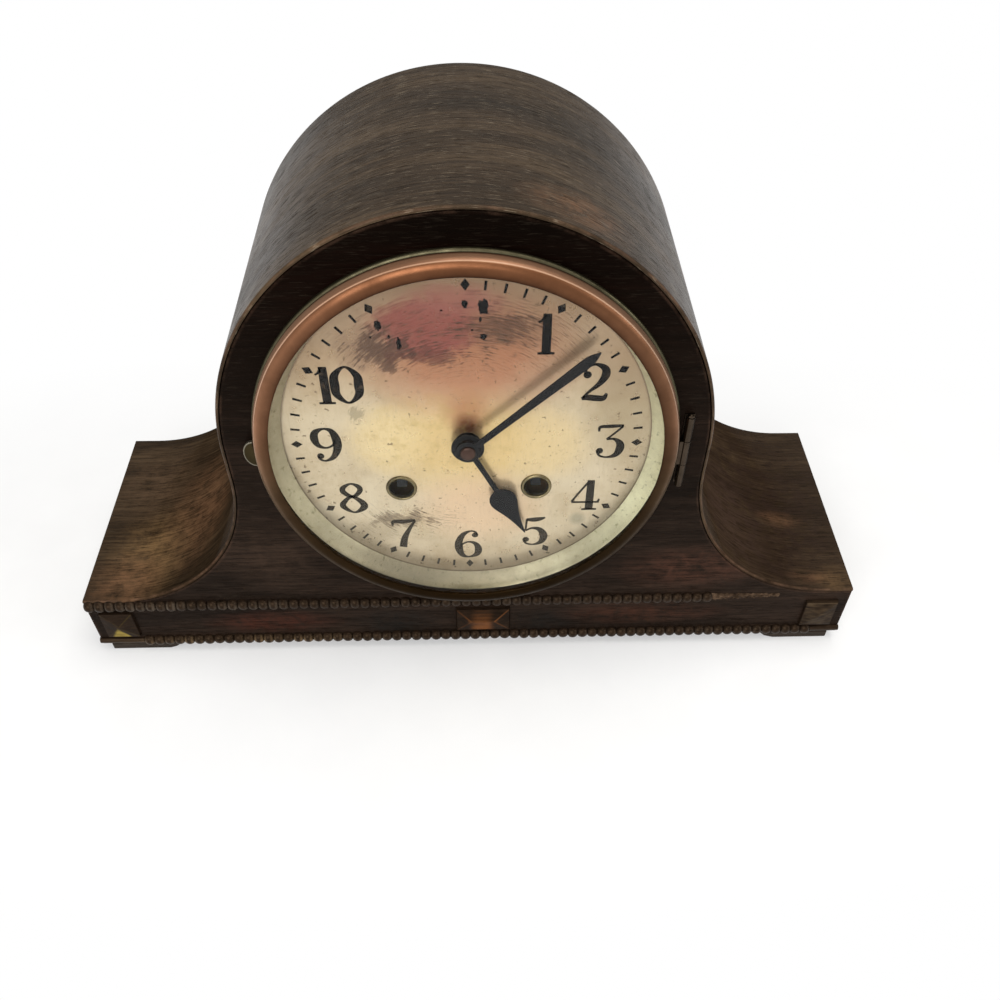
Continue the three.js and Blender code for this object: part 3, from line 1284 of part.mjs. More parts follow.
function pendulumBob() {
  const middle = PENDULUM_Y + PENDULUM_THICKNESS / 2;
  const half = BOB_THICKNESS / 2;
  const lens = turned([
    [0, middle - half], [BOB_RADIUS * 0.55, middle - half * 0.8], [BOB_RADIUS, middle - half * 0.15],
    [BOB_RADIUS, middle + half * 0.15], [BOB_RADIUS * 0.55, middle + half * 0.8], [0, middle + half],
  ], KNOB_SIDES);
  const slotHalf = PENDULUM_WIDTH / 2 + WOOD_GAP;
  const slot = block(
    [-slotHalf, slotHalf],
    [PENDULUM_Y - WOOD_GAP, PENDULUM_Y + PENDULUM_THICKNESS + WOOD_GAP],
    [-BOB_RADIUS - 1, BOB_RADIUS + 1],
  );
  return cut(lens, slot);
}

// Motion work between the dial and the front plate
const MINUTE_WHEEL_Y = PLATE_FRONT - END_SHAKE - WHEEL_THICKNESS;
const HOUR_WHEEL_Y = MINUTE_WHEEL_Y - COLLAR - WHEEL_THICKNESS;

function cannonPinion() {
  const bore = boreRadius(CENTRE_ARBOR_RADIUS, RUNNING_CLEARANCE, PIECE_SIDES);
  const front = MINUTE_HAND_BACK - HAND_THICKNESS - HAND_NUT_LENGTH / 2 + RUNNING_CLEARANCE;
  const back = PLATE_FRONT - END_SHAKE / 2;
  const leaves = slab(
    toothedRim(CANNON_TEETH, CANNON_MODULE, LEAF_ADDENDUM, LEAF_DEDENDUM,
      firstLeafFacing(at.centre, at.minuteWheel, CANNON_TEETH)),
    MINUTE_WHEEL_Y - END_SHAKE / 2,
    back,
    [circlePoints(0, 0, bore, PIECE_SIDES)],
  );
  return joined(tubeY(bore, CANNON_RADIUS, front, back, PIECE_SIDES), leaves);
}

function minuteWheel() {
  const front = HOUR_WHEEL_Y - END_SHAKE;
  return joined(
    turned([
      [0, front], [ARBOR_RADIUS, front], [ARBOR_RADIUS, INSIDE_FRONT], [0, INSIDE_FRONT],
    ], ARBOR_SIDES),
    wheelDisc(MINUTE_WHEEL_TEETH, CANNON_MODULE, MINUTE_WHEEL_Y, towards(at.minuteWheel, at.centre), false),
    pinionHead(MINUTE_PINION_TEETH, HOUR_MODULE, HOUR_WHEEL_Y - END_SHAKE / 2, MINUTE_WHEEL_Y + END_SHAKE / 2,
      firstLeafFacing(at.minuteWheel, at.centre, MINUTE_PINION_TEETH)),
  );
}

function hourWheel() {
  const bore = boreRadius(CANNON_RADIUS, RUNNING_CLEARANCE, PIECE_SIDES);
  const back = HOUR_WHEEL_Y + WHEEL_THICKNESS;
  const front = HOUR_HAND_BACK - HAND_THICKNESS;
  const firstTooth = towards(at.centre, at.minuteWheel);
  const rim = toothedRim(HOUR_WHEEL_TEETH, HOUR_MODULE, ADDENDUM, DEDENDUM, firstTooth);
  const hole = circlePoints(0, 0, HOUR_PIPE_RADIUS - PIPE_WALL / 2, PIECE_SIDES);
  const disc = slab(rim, HOUR_WHEEL_Y, back, [hole]);
  return joined(disc, tubeY(bore, HOUR_PIPE_RADIUS, front, back, PIECE_SIDES));
}

// Hammer: its arbor runs out behind the movement to the stalk and head over the gong
function hammer() {
  const pinReach = PIN_CIRCLE_RADIUS + LIFTING_PIN_RADIUS + HAMMER_TAIL_GAP;
  const tailReach = at.hammer.distanceTo(at.pinWheel) - pinReach;
  const tailY = PIN_WHEEL_Y + WHEEL_THICKNESS + COLLAR;
  const half = HAMMER_TAIL_WIDTH / 2;
  const tail = block([0, tailReach], [tailY, tailY + HAMMER_TAIL_WIDTH], [-half, half]);
  tail.rotateY(-towards(at.hammer, at.pinWheel));
  const stalk = uprightTube(0, HAMMER_STALK_RADIUS, 0, HAMMER_STALK_LENGTH);
  stalk.rotateY(Math.PI / 2);
  stalk.translate(0, GONG_PLANE, 0);
  const head = uprightTube(0, HAMMER_HEAD_RADIUS, -HAMMER_HEAD_LENGTH / 2, HAMMER_HEAD_LENGTH / 2);
  head.translate(HAMMER_STALK_LENGTH, GONG_PLANE, 0);
  const arm = joined(stalk, head);
  arm.rotateY(-HAMMER_STALK_SLOPE);
  const hubFront = GONG_PLANE - HAMMER_HUB_LENGTH / 2;
  const hubBack = GONG_PLANE + HAMMER_HUB_LENGTH / 2;
  const arbor = turned([
    [0, PLATE_FRONT], [HAMMER_ARBOR_RADIUS, PLATE_FRONT], [HAMMER_ARBOR_RADIUS, hubFront],
    [HAMMER_HUB_RADIUS, hubFront], [HAMMER_HUB_RADIUS, hubBack], [0, hubBack],
  ], ARBOR_SIDES);
  return joined(arbor, tail, arm);
}

// Coil gong, struck on its upper right side, and the iron post that holds its inner end
const HAMMER_HEAD_SPOT = at.hammer.clone().add(polar(HAMMER_STALK_LENGTH, HAMMER_STALK_SLOPE));
const GONG_REACH = GONG_OUTER_RADIUS + GONG_WIRE_RADIUS + HAMMER_REST_GAP + HAMMER_HEAD_LENGTH / 2;
const GONG_CENTRE = HAMMER_HEAD_SPOT.clone().add(polar(GONG_REACH, HAMMER_STALK_SLOPE - Math.PI / 2));

function gongPath() {
  const points = [];
  const start = HAMMER_STALK_SLOPE + Math.PI / 2 - Math.PI / 4;
  for (let step = 0; step <= Math.round(GONG_TURNS * GONG_STEPS_PER_TURN); step += 1) {
    const turns = step / GONG_STEPS_PER_TURN;
    const inward = GONG_TURN_PITCH * Math.max(turns - GONG_ROUND_PART, 0);
    const spot = polar(GONG_OUTER_RADIUS - inward, start + 2 * Math.PI * turns);
    points.push(new THREE.Vector3(spot.x, 0, spot.y));
  }
  const endAngle = start + 2 * Math.PI * GONG_TURNS + GONG_END_BEND;
  for (const radius of [GONG_BOSS_RADIUS + 2 * GONG_WIRE_RADIUS, GONG_BOSS_RADIUS + WOOD_GAP]) {
    const spot = polar(radius, endAngle);
    points.push(new THREE.Vector3(spot.x, 0, spot.y));
  }
  return new THREE.CatmullRomCurve3(points);
}

// Least free space between neighbouring turns of the gong
function leastTurnGap(path) {
  const samples = path.getSpacedPoints(GONG_GAP_SAMPLES);
  const apart = 6 * GONG_WIRE_RADIUS;
  const stepLength = path.getLength() / GONG_GAP_SAMPLES;
  let least = Infinity;
  samples.forEach((a, i) => samples.slice(i + 1).forEach((b, j) => {
    if ((j + 1) * stepLength > apart) {
      least = Math.min(least, a.distanceTo(b) - 2 * GONG_WIRE_RADIUS);
    }
  }));
  return least;
}

function gongCoil() {
  const path = gongPath();
  console.log(`gong: least gap between turns ${leastTurnGap(path).toFixed(2)} mm`);
  const wire = new THREE.Shape(circlePoints(0, 0, GONG_WIRE_RADIUS, GONG_WIRE_SIDES));
  const geometry = new THREE.ExtrudeGeometry(wire, {
    extrudePath: path,
    steps: path.points.length - 1,
    bevelEnabled: false,
  });
  geometry.translate(0, GONG_PLANE, 0);
  return geometry;
}

function gongBlock() {
  const floor = PLINTH_FLOOR - GONG_CENTRE.y;
  const wireBack = GONG_PLANE + GONG_WIRE_RADIUS + GONG_POST_GAP;
  const postY = wireBack + GONG_POST_RADIUS;
  const bossFront = GONG_PLANE - GONG_WIRE_RADIUS - GONG_POST_GAP;
  const halfLength = GONG_FOOT_LENGTH / 2;
  const halfDepth = GONG_FOOT_DEPTH / 2;
  const post = new THREE.CylinderGeometry(GONG_POST_RADIUS, GONG_POST_RADIUS * 1.4, -floor, PIECE_SIDES);
  post.rotateX(Math.PI / 2);
  post.translate(0, postY, floor / 2);
  const footX = [-halfLength, halfLength];
  const foot = block(footX, [postY - halfDepth, postY + halfDepth], [floor, floor + GONG_FOOT_HEIGHT]);
  const frontFoot = block(footX, [postY - halfDepth, wireBack], [floor - 1, 0]);
  const boss = cylinderY(GONG_BOSS_RADIUS, bossFront, postY + GONG_POST_RADIUS, PIECE_SIDES);
  return joined(cut(joined(foot, post), frontFoot), boss);
}

function placeAt(name, geometry, material, spot) {
  place(dialCentre, name, geometry, material, spot.x, spot.y);
}

placeAt('front_plate', frontPlate(), BRASS, at.centre);
placeAt('back_plate', backPlate(), BRASS, at.centre);
for (const [name, spot] of Object.entries(pillarSpots())) {
  placeAt(name, pillar(), BRASS, spot);
}
placeAt('going_barrel', barrel(at.goingBarrel, at.second), BRASS, at.goingBarrel);
placeAt('strike_barrel', barrel(at.strikeBarrel, at.strikeSecond), BRASS, at.strikeBarrel);
placeAt('going_winding_arbor', windingArbor(), STEEL, at.goingBarrel);
placeAt('strike_winding_arbor', windingArbor(), STEEL, at.strikeBarrel);
placeAt('going_click', click(1), STEEL, at.goingClick);
placeAt('strike_click', click(-1), STEEL, at.strikeClick);
placeAt('second_wheel', secondWheel(at.second, at.goingBarrel, at.centre, SECOND_WHEEL_Y), BRASS, at.second);
placeAt('centre_wheel', centreWheel(), BRASS, at.centre);
placeAt('third_wheel', thirdWheel(), BRASS, at.third);
placeAt('escape_wheel', escapeWheel(), BRASS, at.escape);
placeAt('pallets', pallets(), STEEL, at.pallets);
placeAt('back_cock', backCock(), BRASS, at.pallets);
placeAt('pendulum_rod', pendulumRod(), STEEL, at.pallets);
placeAt('pendulum_bob', pendulumBob(), BRASS, stepFrom(at.pallets, PENDULUM_LENGTH, -90));
placeAt('cannon_pinion', cannonPinion(), STEEL, at.centre);
placeAt('minute_wheel', minuteWheel(), BRASS, at.minuteWheel);
placeAt('hour_wheel', hourWheel(), BRASS, at.centre);
const strikeSecond = secondWheel(at.strikeSecond, at.strikeBarrel, at.pinWheel, STRIKE_SECOND_Y);
placeAt('strike_second_wheel', strikeSecond, BRASS, at.strikeSecond);
placeAt('pin_wheel', pinWheel(), BRASS, at.pinWheel);
placeAt('warning_wheel', warningWheel(), BRASS, at.warning);
placeAt('fly', fly(), BRASS, at.fly);
placeAt('hammer', hammer(), BRASS, at.hammer);
placeAt('gong_block', gongBlock(), IRON, GONG_CENTRE);
placeAt('gong_coil', gongCoil(), BLUED, GONG_CENTRE);

// The origin lies under the middle of the clock's full depth, from the glass to the door knob
clock.position.y = -(GLASS_FRONT + KNOB_END) / 2;

export default clock;
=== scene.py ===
import json
import math
import random

import bmesh
import bpy
from mathutils import Matrix, Vector, noise
from mathutils.geometry import tessellate_polygon


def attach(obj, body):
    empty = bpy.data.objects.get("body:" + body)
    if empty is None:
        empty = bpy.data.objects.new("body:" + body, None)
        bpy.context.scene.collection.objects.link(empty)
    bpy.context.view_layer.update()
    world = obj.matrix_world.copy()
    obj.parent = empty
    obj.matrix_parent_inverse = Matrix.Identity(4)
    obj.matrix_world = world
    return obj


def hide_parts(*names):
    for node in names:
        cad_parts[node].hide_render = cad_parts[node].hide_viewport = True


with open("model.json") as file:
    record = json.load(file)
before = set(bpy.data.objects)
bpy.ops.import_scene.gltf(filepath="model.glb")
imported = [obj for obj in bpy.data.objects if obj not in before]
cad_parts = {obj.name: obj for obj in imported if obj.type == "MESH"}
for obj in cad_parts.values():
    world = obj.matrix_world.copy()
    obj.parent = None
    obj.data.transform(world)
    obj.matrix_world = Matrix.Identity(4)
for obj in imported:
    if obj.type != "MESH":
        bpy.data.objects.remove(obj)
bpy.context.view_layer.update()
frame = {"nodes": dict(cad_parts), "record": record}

# Sizes in millimetres. Depths run back from the case's front face, heights up from the table.
MM = 0.001
FACE_Y = -55.1
HALF_WIDTH = 178.0
DRUM_RADIUS = 96.0
COVE_RADIUS = 70.0
COVE_X = 166.0
COVE_Z = 104.0
SHOULDER_HEIGHT = 34.0
CASE_DEPTH = 116.0
FRONT_THICKNESS = 12.0
BACK_THICKNESS = 6.0
WRAP_THICKNESS = 5.0
LIP = 1.2
PANEL_INSET = 1.5
FOOT_HEIGHT = 4.0
BEAD_RADIUS = 2.9
BEAD_PITCH = 4.7
TOP_BEAD_Z = 30.9
BOTTOM_BEAD_Z = 7.1
ROD_RADIUS = 1.7
ROD_LEFT_X = -157.0
ROD_RIGHT_X = 164.0
TORN_X = 112.0
TORN_OVERLAP = 0.6
TORN_LENGTH = 32.4
BOSS_Z = 18.8
BOSS_EDGE = 1.6
BOSS_RISE = 1.75
CORNER_BOSS_X = 165.25
CORNER_BOSS_SIZE = (15.5, 16.4)
CENTRE_BOSS_X = 5.0
CENTRE_BOSS_SIZE = (25.6, 14.8)
DIAL_Z = 118.0
DIAL_DEPTH = 4.4
DIAL_THICKNESS = 1.0
DIAL_HOLE_RADIUS = 79.5
DIAL_TURN = 0.008
PAINT_THICKNESS = 0.03
SEAT_GAP = 0.02
SIGHT_RADIUS = 72.5
REFLECTOR_RADIUS = 77.9
CENTRE_HOLE_RADIUS = 5.2
WINDING_HOLE_RADIUS = 5.75
WINDING_X = 27.8
WINDING_Z = 95.4
BEZEL_RADIUS = 82.0
GLASS_RADIUS = 75.5
GLASS_SEAT_RADIUS = 77.7
GLASS_RISE = 8.5
GLASS_FRONT = -6.3
GLASS_THICKNESS = 1.8
TAB_SPOT = (-82.3, -2.5, 120.0)
MINUTE_ANGLE = math.radians(47.9)
HOUR_ANGLE = math.radians(152.6)
HAND_THICKNESS = 0.6
HAND_EDGE = 0.14
WOOD_EDGE = 0.6
METAL_EDGE = 0.12
GONG_SPOT = (-37.396, 59.312)
GONG_DEPTH = 85.0
GONG_RADIUS = 33.0
GONG_PITCH = 7.4
GONG_INNER_RADIUS = 5.3
GONG_START = math.radians(14)
GONG_TURNS = 2.75
WIRE_RADIUS = 1.55
BOB_RADIUS = 16.0
BOB_BULGE = 4.5
BOB_DEPTH = 59.3
BOB_Z = 47.5
KNOB_SPOT = (49.0, 86.0)

# Numbers of steps in round shapes
RING_SEGMENTS = 192
COVE_STEPS = 36
DRUM_STEPS = 120
BEAD_STEPS = 8
ROD_STEPS = 30
BOSS_STEPS = 48
TORN_STEPS = 64
TORN_ROWS = 12
DOME_STEPS = 24
SPLINE_STEPS = 9
BALL_SIDES = 24
HOLE_SIDES = 48
HUB_STEPS = 48
GONG_STEPS = 64
GONG_END_STEPS = 14
WIRE_SIDES = 14


def clamped(number):
    return max(0.0, min(1.0, number))


# Mesh building
def place(x, depth, z):
    return (x * MM, (depth + FACE_Y) * MM, z * MM)


def add_object(name, data):
    made = bpy.data.objects.new(name, data)
    bpy.context.scene.collection.objects.link(made)
    return made


def add_piece(name, shape, material, body, nodes=(), sharp=35, values=None):
    verts, faces = shape
    mesh = bpy.data.meshes.new(name)
    mesh.from_pydata([place(*v) for v in verts], [], faces)
    for key, numbers in (values or {}).items():
        layer = mesh.attributes.new(key, "FLOAT", "POINT")
        layer.data.foreach_set("value", numbers)
    work = bmesh.new()
    work.from_mesh(mesh)
    bmesh.ops.remove_doubles(work, verts=work.verts, dist=1e-6)
    bmesh.ops.recalc_face_normals(work, faces=work.faces)
    work.to_mesh(mesh)
    work.free()
    mesh.shade_smooth()
    mesh.set_sharp_from_angle(angle=math.radians(sharp))
    mesh.materials.append(material)
    piece = add_object(name, mesh)
    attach(piece, body)
    if nodes:
        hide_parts(*nodes)
    return piece


def soften(piece, width):
    bevel = piece.modifiers.new("soft_edges", "BEVEL")
    bevel.width = width * MM
    bevel.segments = 2
    bevel.limit_method = "ANGLE"
    bevel.angle_limit = math.radians(40)
    bevel.harden_normals = True


def skin(rings, around=True, along=False):
    size = len(rings[0])
    count = len(rings)
    faces = []
    for r in range(count if along else count - 1):
        low, high = r * size, ((r + 1) % count) * size
        for i in range(size if around else size - 1):
            j = (i + 1) % size
            faces.append((low + i, low + j, high + j, high + i))
    return [v for ring in rings for v in ring], faces


def lathe(profile, centre=(0.0, DIAL_Z), segments=RING_SEGMENTS, loop=True):
    turns = [2 * math.pi * k / segments for k in range(segments)]
    rings = [
        [(centre[0] + r * math.sin(t), depth, centre[1] + r * math.cos(t)) for t in turns]
        for r, depth in profile
    ]
    return skin(rings, along=loop)


def merged(*parts):
    verts, faces = [], []
    for part_verts, part_faces in parts:
        start = len(verts)
        verts += part_verts
        faces += [tuple(start + i for i in face) for face in part_faces]
    return verts, faces


# A flat plate with holes and rounded front edges, and its wear; the edge lists insets and depths
def plate(outline_at, holes, edge, front, back):
    def ring(points, depth):
        return [(x, depth, z) for x, z in points]

    widest, margin = edge[-1][0], 0.6
    steps = [(0, back), *[(inset, front + depth) for inset, depth in edge], (widest + margin, front)]
    outer = [ring(outline_at(inset), depth) for inset, depth in steps]
    bores = [[ring(points, front), ring(points, back)] for points in holes]
    parts = [skin(outer), *[skin(pair) for pair in bores]]
    for border, side in ((outer[-1], 0), (outer[0], 1)):
        loops = [[Vector(v) for v in points] for points in (border, *[pair[side] for pair in bores])]
        flat = [tuple(v) for points in loops for v in points]
        parts.append((flat, [tuple(t) for t in tessellate_polygon(loops)]))
    wear = []
    for inset, depth in steps:
        worn = 0.0 < depth - front < 1.0 or 0 < inset <= widest
        wear += [1.0 if worn else 0.0] * len(outer[0])
    verts, faces = merged(*parts)
    return (verts, faces), wear + [0.0] * (len(verts) - len(wear))


def arc(x, z, radius, start, stop, steps):
    angles = [start + (stop - start) * k / steps for k in range(steps + 1)]
    return [(x + radius * math.cos(a), z + radius * math.sin(a)) for a in angles]


def circle(x, z, radius, sides):
    return arc(x, z, radius, 0, 2 * math.pi, sides)[:-1]


# Direction of a run of points at one of them
def heading(points, i, loop=False):
    count = len(points)
    before = points[(i - 1) % count if loop else max(i - 1, 0)]
    after = points[(i + 1) % count if loop else min(i + 1, count - 1)]
    dx, dy = after[0] - before[0], after[1] - before[1]
    size = math.hypot(dx, dy) or 1.0
    return dx / size, dy / size


def turned(x, z, angle):
    return (x * math.cos(angle) + z * math.sin(angle), z * math.cos(angle) - x * math.sin(angle))


# Case outline from the left end over the drum to the right end
def case_path(inset, end=0.0):
    quarter = math.pi / 2
    top = SHOULDER_HEIGHT - inset
    return [
        (-HALF_WIDTH + end, top),
        *arc(-COVE_X, COVE_Z, COVE_RADIUS + inset, -quarter, 0, COVE_STEPS),
        *arc(0, DIAL_Z, DRUM_RADIUS - inset, math.pi, 0, DRUM_STEPS),
        *arc(COVE_X, COVE_Z, COVE_RADIUS + inset, math.pi, 3 * quarter, COVE_STEPS),
        (HALF_WIDTH - end, top),
    ]


def panel_outline(inset):
    return [
        *case_path(PANEL_INSET + inset, inset),
        (HALF_WIDTH - inset, FOOT_HEIGHT + inset),
        (-HALF_WIDTH + inset, FOOT_HEIGHT + inset),
    ]


# Nodes of a material, or of the world
class Shader:
    def __init__(self, name, owner=None):
        self.material = owner or bpy.data.materials.new(name)
        self.material.use_nodes = True
        self.tree = self.material.node_tree
        self.surface = self.tree.nodes.get("Principled BSDF")

    def put(self, socket, value):
        if isinstance(value, bpy.types.NodeSocket):
            self.tree.links.new(value, socket)
        else:
            socket.default_value = (*value, 1.0) if socket.type == "RGBA" else value

    def node(self, kind, inputs, **settings):
        made = self.tree.nodes.new(kind)
        for key, value in settings.items():
            setattr(made, key, value)
        for key, value in inputs.items():
            self.put(made.inputs[key], value)
        return made

    def math(self, operation, a, b=0.0):
        return self.node("ShaderNodeMath", {0: a, 1: b}, operation=operation).outputs[0]

    def times(self, a, b):
        return self.math("MULTIPLY", a, b)

    def plus(self, a, b):
        return self.math("ADD", a, b)

    def minus(self, a, b):
        return self.math("SUBTRACT", a, b)

    def mix(self, factor, a, b, blend="MIX"):
        return self.node(
            "ShaderNodeMix", {0: factor, 6: a, 7: b}, data_type="RGBA", blend_type=blend,
        ).outputs[2]

    def ramp(self, factor, *stops):
        made = self.node("ShaderNodeValToRGB", {0: factor})
        elements = made.color_ramp.elements
        while len(elements) < len(stops):
            elements.new(0.5)
        for element, (position, colour) in zip(elements, stops):
            element.position = position
            element.color = (*colour, 1.0) if isinstance(colour, tuple) else (colour, colour, colour, 1.0)
        return made.outputs[0]

    # Nought below the low value, one above the high value
    def step(self, factor, low, high):
        return self.ramp(factor, (low, 0.0), (high, 1.0))

    # The tint laid over a colour where the mask is one, at the given strength
    def over(self, colour, mask, strength, tint):
        return self.mix(self.times(mask, strength), colour, tint)

    def coords(self):
        return self.node("ShaderNodeTexCoord", {}).outputs["Object"]

    def attribute(self, name):
        return self.node("ShaderNodeAttribute", {}, attribute_name=name).outputs["Fac"]

    def split(self, vector):
        return self.node("ShaderNodeSeparateXYZ", {0: vector}).outputs

    def joined(self, x, y, z):
        return self.node("ShaderNodeCombineXYZ", {0: x, 1: y, 2: z}).outputs[0]

    def scaled(self, vector, scale):
        return self.node("ShaderNodeVectorMath", {0: vector, 1: scale}, operation="MULTIPLY").outputs[0]

    def length(self, vector):
        return self.node("ShaderNodeVectorMath", {0: vector}, operation="LENGTH").outputs[1]

    # Noise with so many waves to the metre, alike on all axes or one number for each
    def noise(self, vector, waves, detail, rough, distortion=0.0):
        spread = self.scaled(vector, waves if isinstance(waves, tuple) else (waves, waves, waves))
        return self.node("ShaderNodeTexNoise", {
            "Vector": spread, "Scale": 1.0, "Detail": detail, "Roughness": rough, "Distortion": distortion,
        }).outputs[0]

    # Nought at the low level of an axis and one at the high level, both in millimetres
    def share(self, vector, axis, low, high):
        above = self.minus(self.split(vector)["XYZ".index(axis)], low * MM)
        return self.math("DIVIDE", above, (high - low) * MM)

    # One inside an ellipsoid given in millimetres, fading to nought at its surface
    def patch(self, vector, centre, radii, softness=0.6):
        moved = self.node("ShaderNodeVectorMath", {0: vector, 1: place(*centre)}, operation="SUBTRACT")
        shrunk = self.scaled(moved.outputs[0], tuple(1 / (r * MM) for r in radii))
        return self.ramp(self.length(shrunk), (1 - softness, 1.0), (1.0, 0.0))

    def bump(self, height, strength, distance=0.0002):
        made = self.node("ShaderNodeBump", {"Height": height, "Strength": strength, "Distance": distance})
        self.put(self.surface.inputs["Normal"], made.outputs[0])

    def coat(self, colour, rough, metallic=0.0, shine=0.5, tint=(1.0, 1.0, 1.0)):
        names = ("Base Color", "Roughness", "Metallic", "Specular IOR Level", "Specular Tint")
        for name, value in zip(names, (colour, rough, metallic, shine, tint)):
            self.put(self.surface.inputs[name], value)


# Stained oak: long grain, open pores, worn patches and patches of painted shade, dull stretches and pale
# rubbed edges. A patch has its centre, radii, colour and strength; the painted shade has two heights and the
# colour at the upper one.
def oak(name, axes, tones, patches=(), edge=0.0, shade=None, gleam=0.25, pale=0.1, pit=0.8, dull=()):
    s = Shader(name)
    spot = s.coords()
    if axes == "swept":
        lines = s.joined(s.attribute("along"), s.attribute("across"), 0.0)
    else:
        parts = s.split(spot)
        lines = s.joined(*[parts["XYZ".index(axis)] for axis in axes])
    broad = s.noise(lines, (7, 46, 46), 5, 0.6, 0.4)
    streak = s.noise(lines, (26, 620, 620), 5, 0.7)
    pits = s.ramp(s.noise(lines, (110, 1500, 1500), 3, 0.6), (0.38, 1.0), (0.46, 0.0))
    glints = s.step(s.noise(lines, (150, 2100, 900), 3, 0.55), 0.6, 0.67)
    tone = s.plus(s.times(broad, 0.58), s.times(streak, 0.42))
    colour = s.ramp(tone, (0.34, tones[0]), (0.5, tones[1]), (0.66, tones[2]))
    if shade:
        low, high, tint = shade
        painted_shading = s.ramp(s.share(spot, "Z", low, high), (0.0, 1.0), (1.0, tint))
        colour = s.mix(1.0, colour, painted_shading, "MULTIPLY")
    if patches:
        mottle = s.noise(spot, 150, 6, 0.7, 0.4)
        broken = s.step(s.plus(s.times(streak, 0.42), s.times(mottle, 0.58)), 0.38, 0.58)
    for centre, radii, tint, strength in patches:
        area = s.times(s.patch(spot, centre, radii, 0.75), broken)
        colour = s.over(colour, area, strength, tint)
    if axes == "swept":
        glints = s.times(glints, s.ramp(s.split(spot)[2], (0.07, 0.12), (0.15, 1.0)))
    colour = s.over(colour, glints, pale, (0.25, 0.2, 0.14))
    colour = s.over(colour, pits, pit, (0.005, 0.003, 0.002))
    if edge:
        rub = s.step(s.noise(spot, 120, 6, 0.7), 0.42, 0.6)
        worn = s.times(s.attribute("wear"), s.plus(0.08, s.times(rub, 0.92)))
        colour = s.over(colour, worn, edge, (0.2, 0.11, 0.07))
    level = gleam
    for centre, radii in dull:
        level = s.times(s.minus(1.0, s.patch(spot, centre, radii)), level)
    gloss = s.plus(s.times(s.noise(spot, 38, 5, 0.62), 0.2), s.times(pits, 0.22))
    s.coat(colour, s.plus(gloss, 0.26), 0.0, level, (1.0, 0.8, 0.58))
    s.bump(s.plus(s.times(streak, 0.4), s.times(pits, -0.8)), 0.55, 0.00022)
    return s.material


DARK_OAK = ((0.010, 0.0064, 0.0036), (0.033, 0.0205, 0.0115), (0.086, 0.056, 0.031))
PANEL_OAK = ((0.006, 0.0038, 0.0028), (0.0145, 0.009, 0.0064), (0.033, 0.02, 0.0142))
PLY_OAK = ((0.035, 0.019, 0.011), (0.085, 0.048, 0.028), (0.16, 0.095, 0.056))
DOOR_OAK = ((0.04, 0.022, 0.013), (0.095, 0.055, 0.032), (0.17, 0.10, 0.06))
WORN_YELLOW = (0.23, 0.135, 0.06)
WORN_BROWN = (0.16, 0.082, 0.042)
# Colour of the painted shade at the ends of the front board
END_SHADE = (0.006, 0.004, 0.003)
GREY_BLACK = (0.008, 0.008, 0.0075)
oak_wrap = oak("oak_wrap", "swept", DARK_OAK, [
    ((-150, 30, 37), (26, 34, 22), WORN_YELLOW, 0.62),
    ((-160, 12, 35), (22, 22, 12), WORN_BROWN, 0.8),
    ((-128, 50, 46), (26, 44, 26), WORN_BROWN, 0.8),
    ((-160, 80, 36), (26, 34, 16), (0.09, 0.055, 0.032), 0.85),
    # Painted shade: the right shoulder darkened
    ((146, 50, 48), (70, 110, 60), (0.026, 0.0155, 0.0115), 0.95),
    ((122, 34, 52), (22, 46, 30), (0.056, 0.034, 0.024), 0.8),
    ((152, 46, 37), (14, 7, 16), WORN_BROWN, 0.5),
    ((160, 8, 35), (14, 6, 12), WORN_BROWN, 0.4),
    ((172, 6, 34), (12, 12, 10), WORN_YELLOW, 0.35),
    ((40, 14, 206), (26, 14, 22), WORN_BROWN, 0.75),
], edge=0.3, gleam=0.16, pale=0.5, pit=0.5, dull=[((x, 50, 48), (74, 170, 60)) for x in (-128, 128)])
oak_panel = oak("oak_panel", "XZY", PANEL_OAK, [
    ((-94, 0, 18), (36, 10, 9), (0.07, 0.02, 0.012), 0.6),
    ((-36, 0, 16), (24, 10, 12), GREY_BLACK, 0.9),
    ((34, 0, 16), (20, 10, 12), GREY_BLACK, 0.85),
    ((80, 0, 20), (46, 10, 9), (0.06, 0.022, 0.013), 0.6),
    ((-85, 0, 60), (30, 10, 26), (0.05, 0.03, 0.02), 0.5),
    ((100, 0, 50), (40, 10, 16), (0.08, 0.034, 0.022), 0.6),
    # Painted shade at both ends of the front board
    ((176, 0, 18), (7, 10, 20), END_SHADE, 1.0),
    ((-177, 0, 18), (6, 10, 20), END_SHADE, 1.0),
], edge=0.1, shade=(80, 190, (0.14, 0.06, 0.05)), gleam=0.04, pale=0.03, pit=0.5)
oak_plain = oak("oak_plain", "XZY", PANEL_OAK)
oak_ply = oak("oak_ply", "XZY", PLY_OAK)
oak_door = oak("oak_door", "ZXY", DOOR_OAK)


# Carved mouldings: dark in the creases, pale where the mesh's wear values are (rubbed crests, on the beads
# also a painted highlight), with warmer areas by centre, radii and colour
def moulding(name, crest, shine=0.1, rough=0.34, warm=()):
    s = Shader(name)
    spot = s.coords()
    grain = s.noise(spot, (150, 900, 900), 4, 0.6)
    rub = s.ramp(s.noise(spot, (60, 160, 160), 4, 0.6), (0.36, 0.15), (0.62, 1.0))
    base = s.ramp(grain, (0.3, (0.005, 0.003, 0.002)), (0.7, (0.022, 0.0125, 0.0075)))
    worn = s.times(s.attribute("wear"), rub)
    colour = s.mix(worn, base, crest)
    for centre, radii, tint in warm:
        colour = s.over(colour, s.patch(spot, centre, radii), worn, tint)
    s.coat(colour, s.plus(rough, s.times(grain, 0.3)), 0.0, shine, (1.0, 0.68, 0.42))
    s.bump(grain, 0.4)
    return s.material


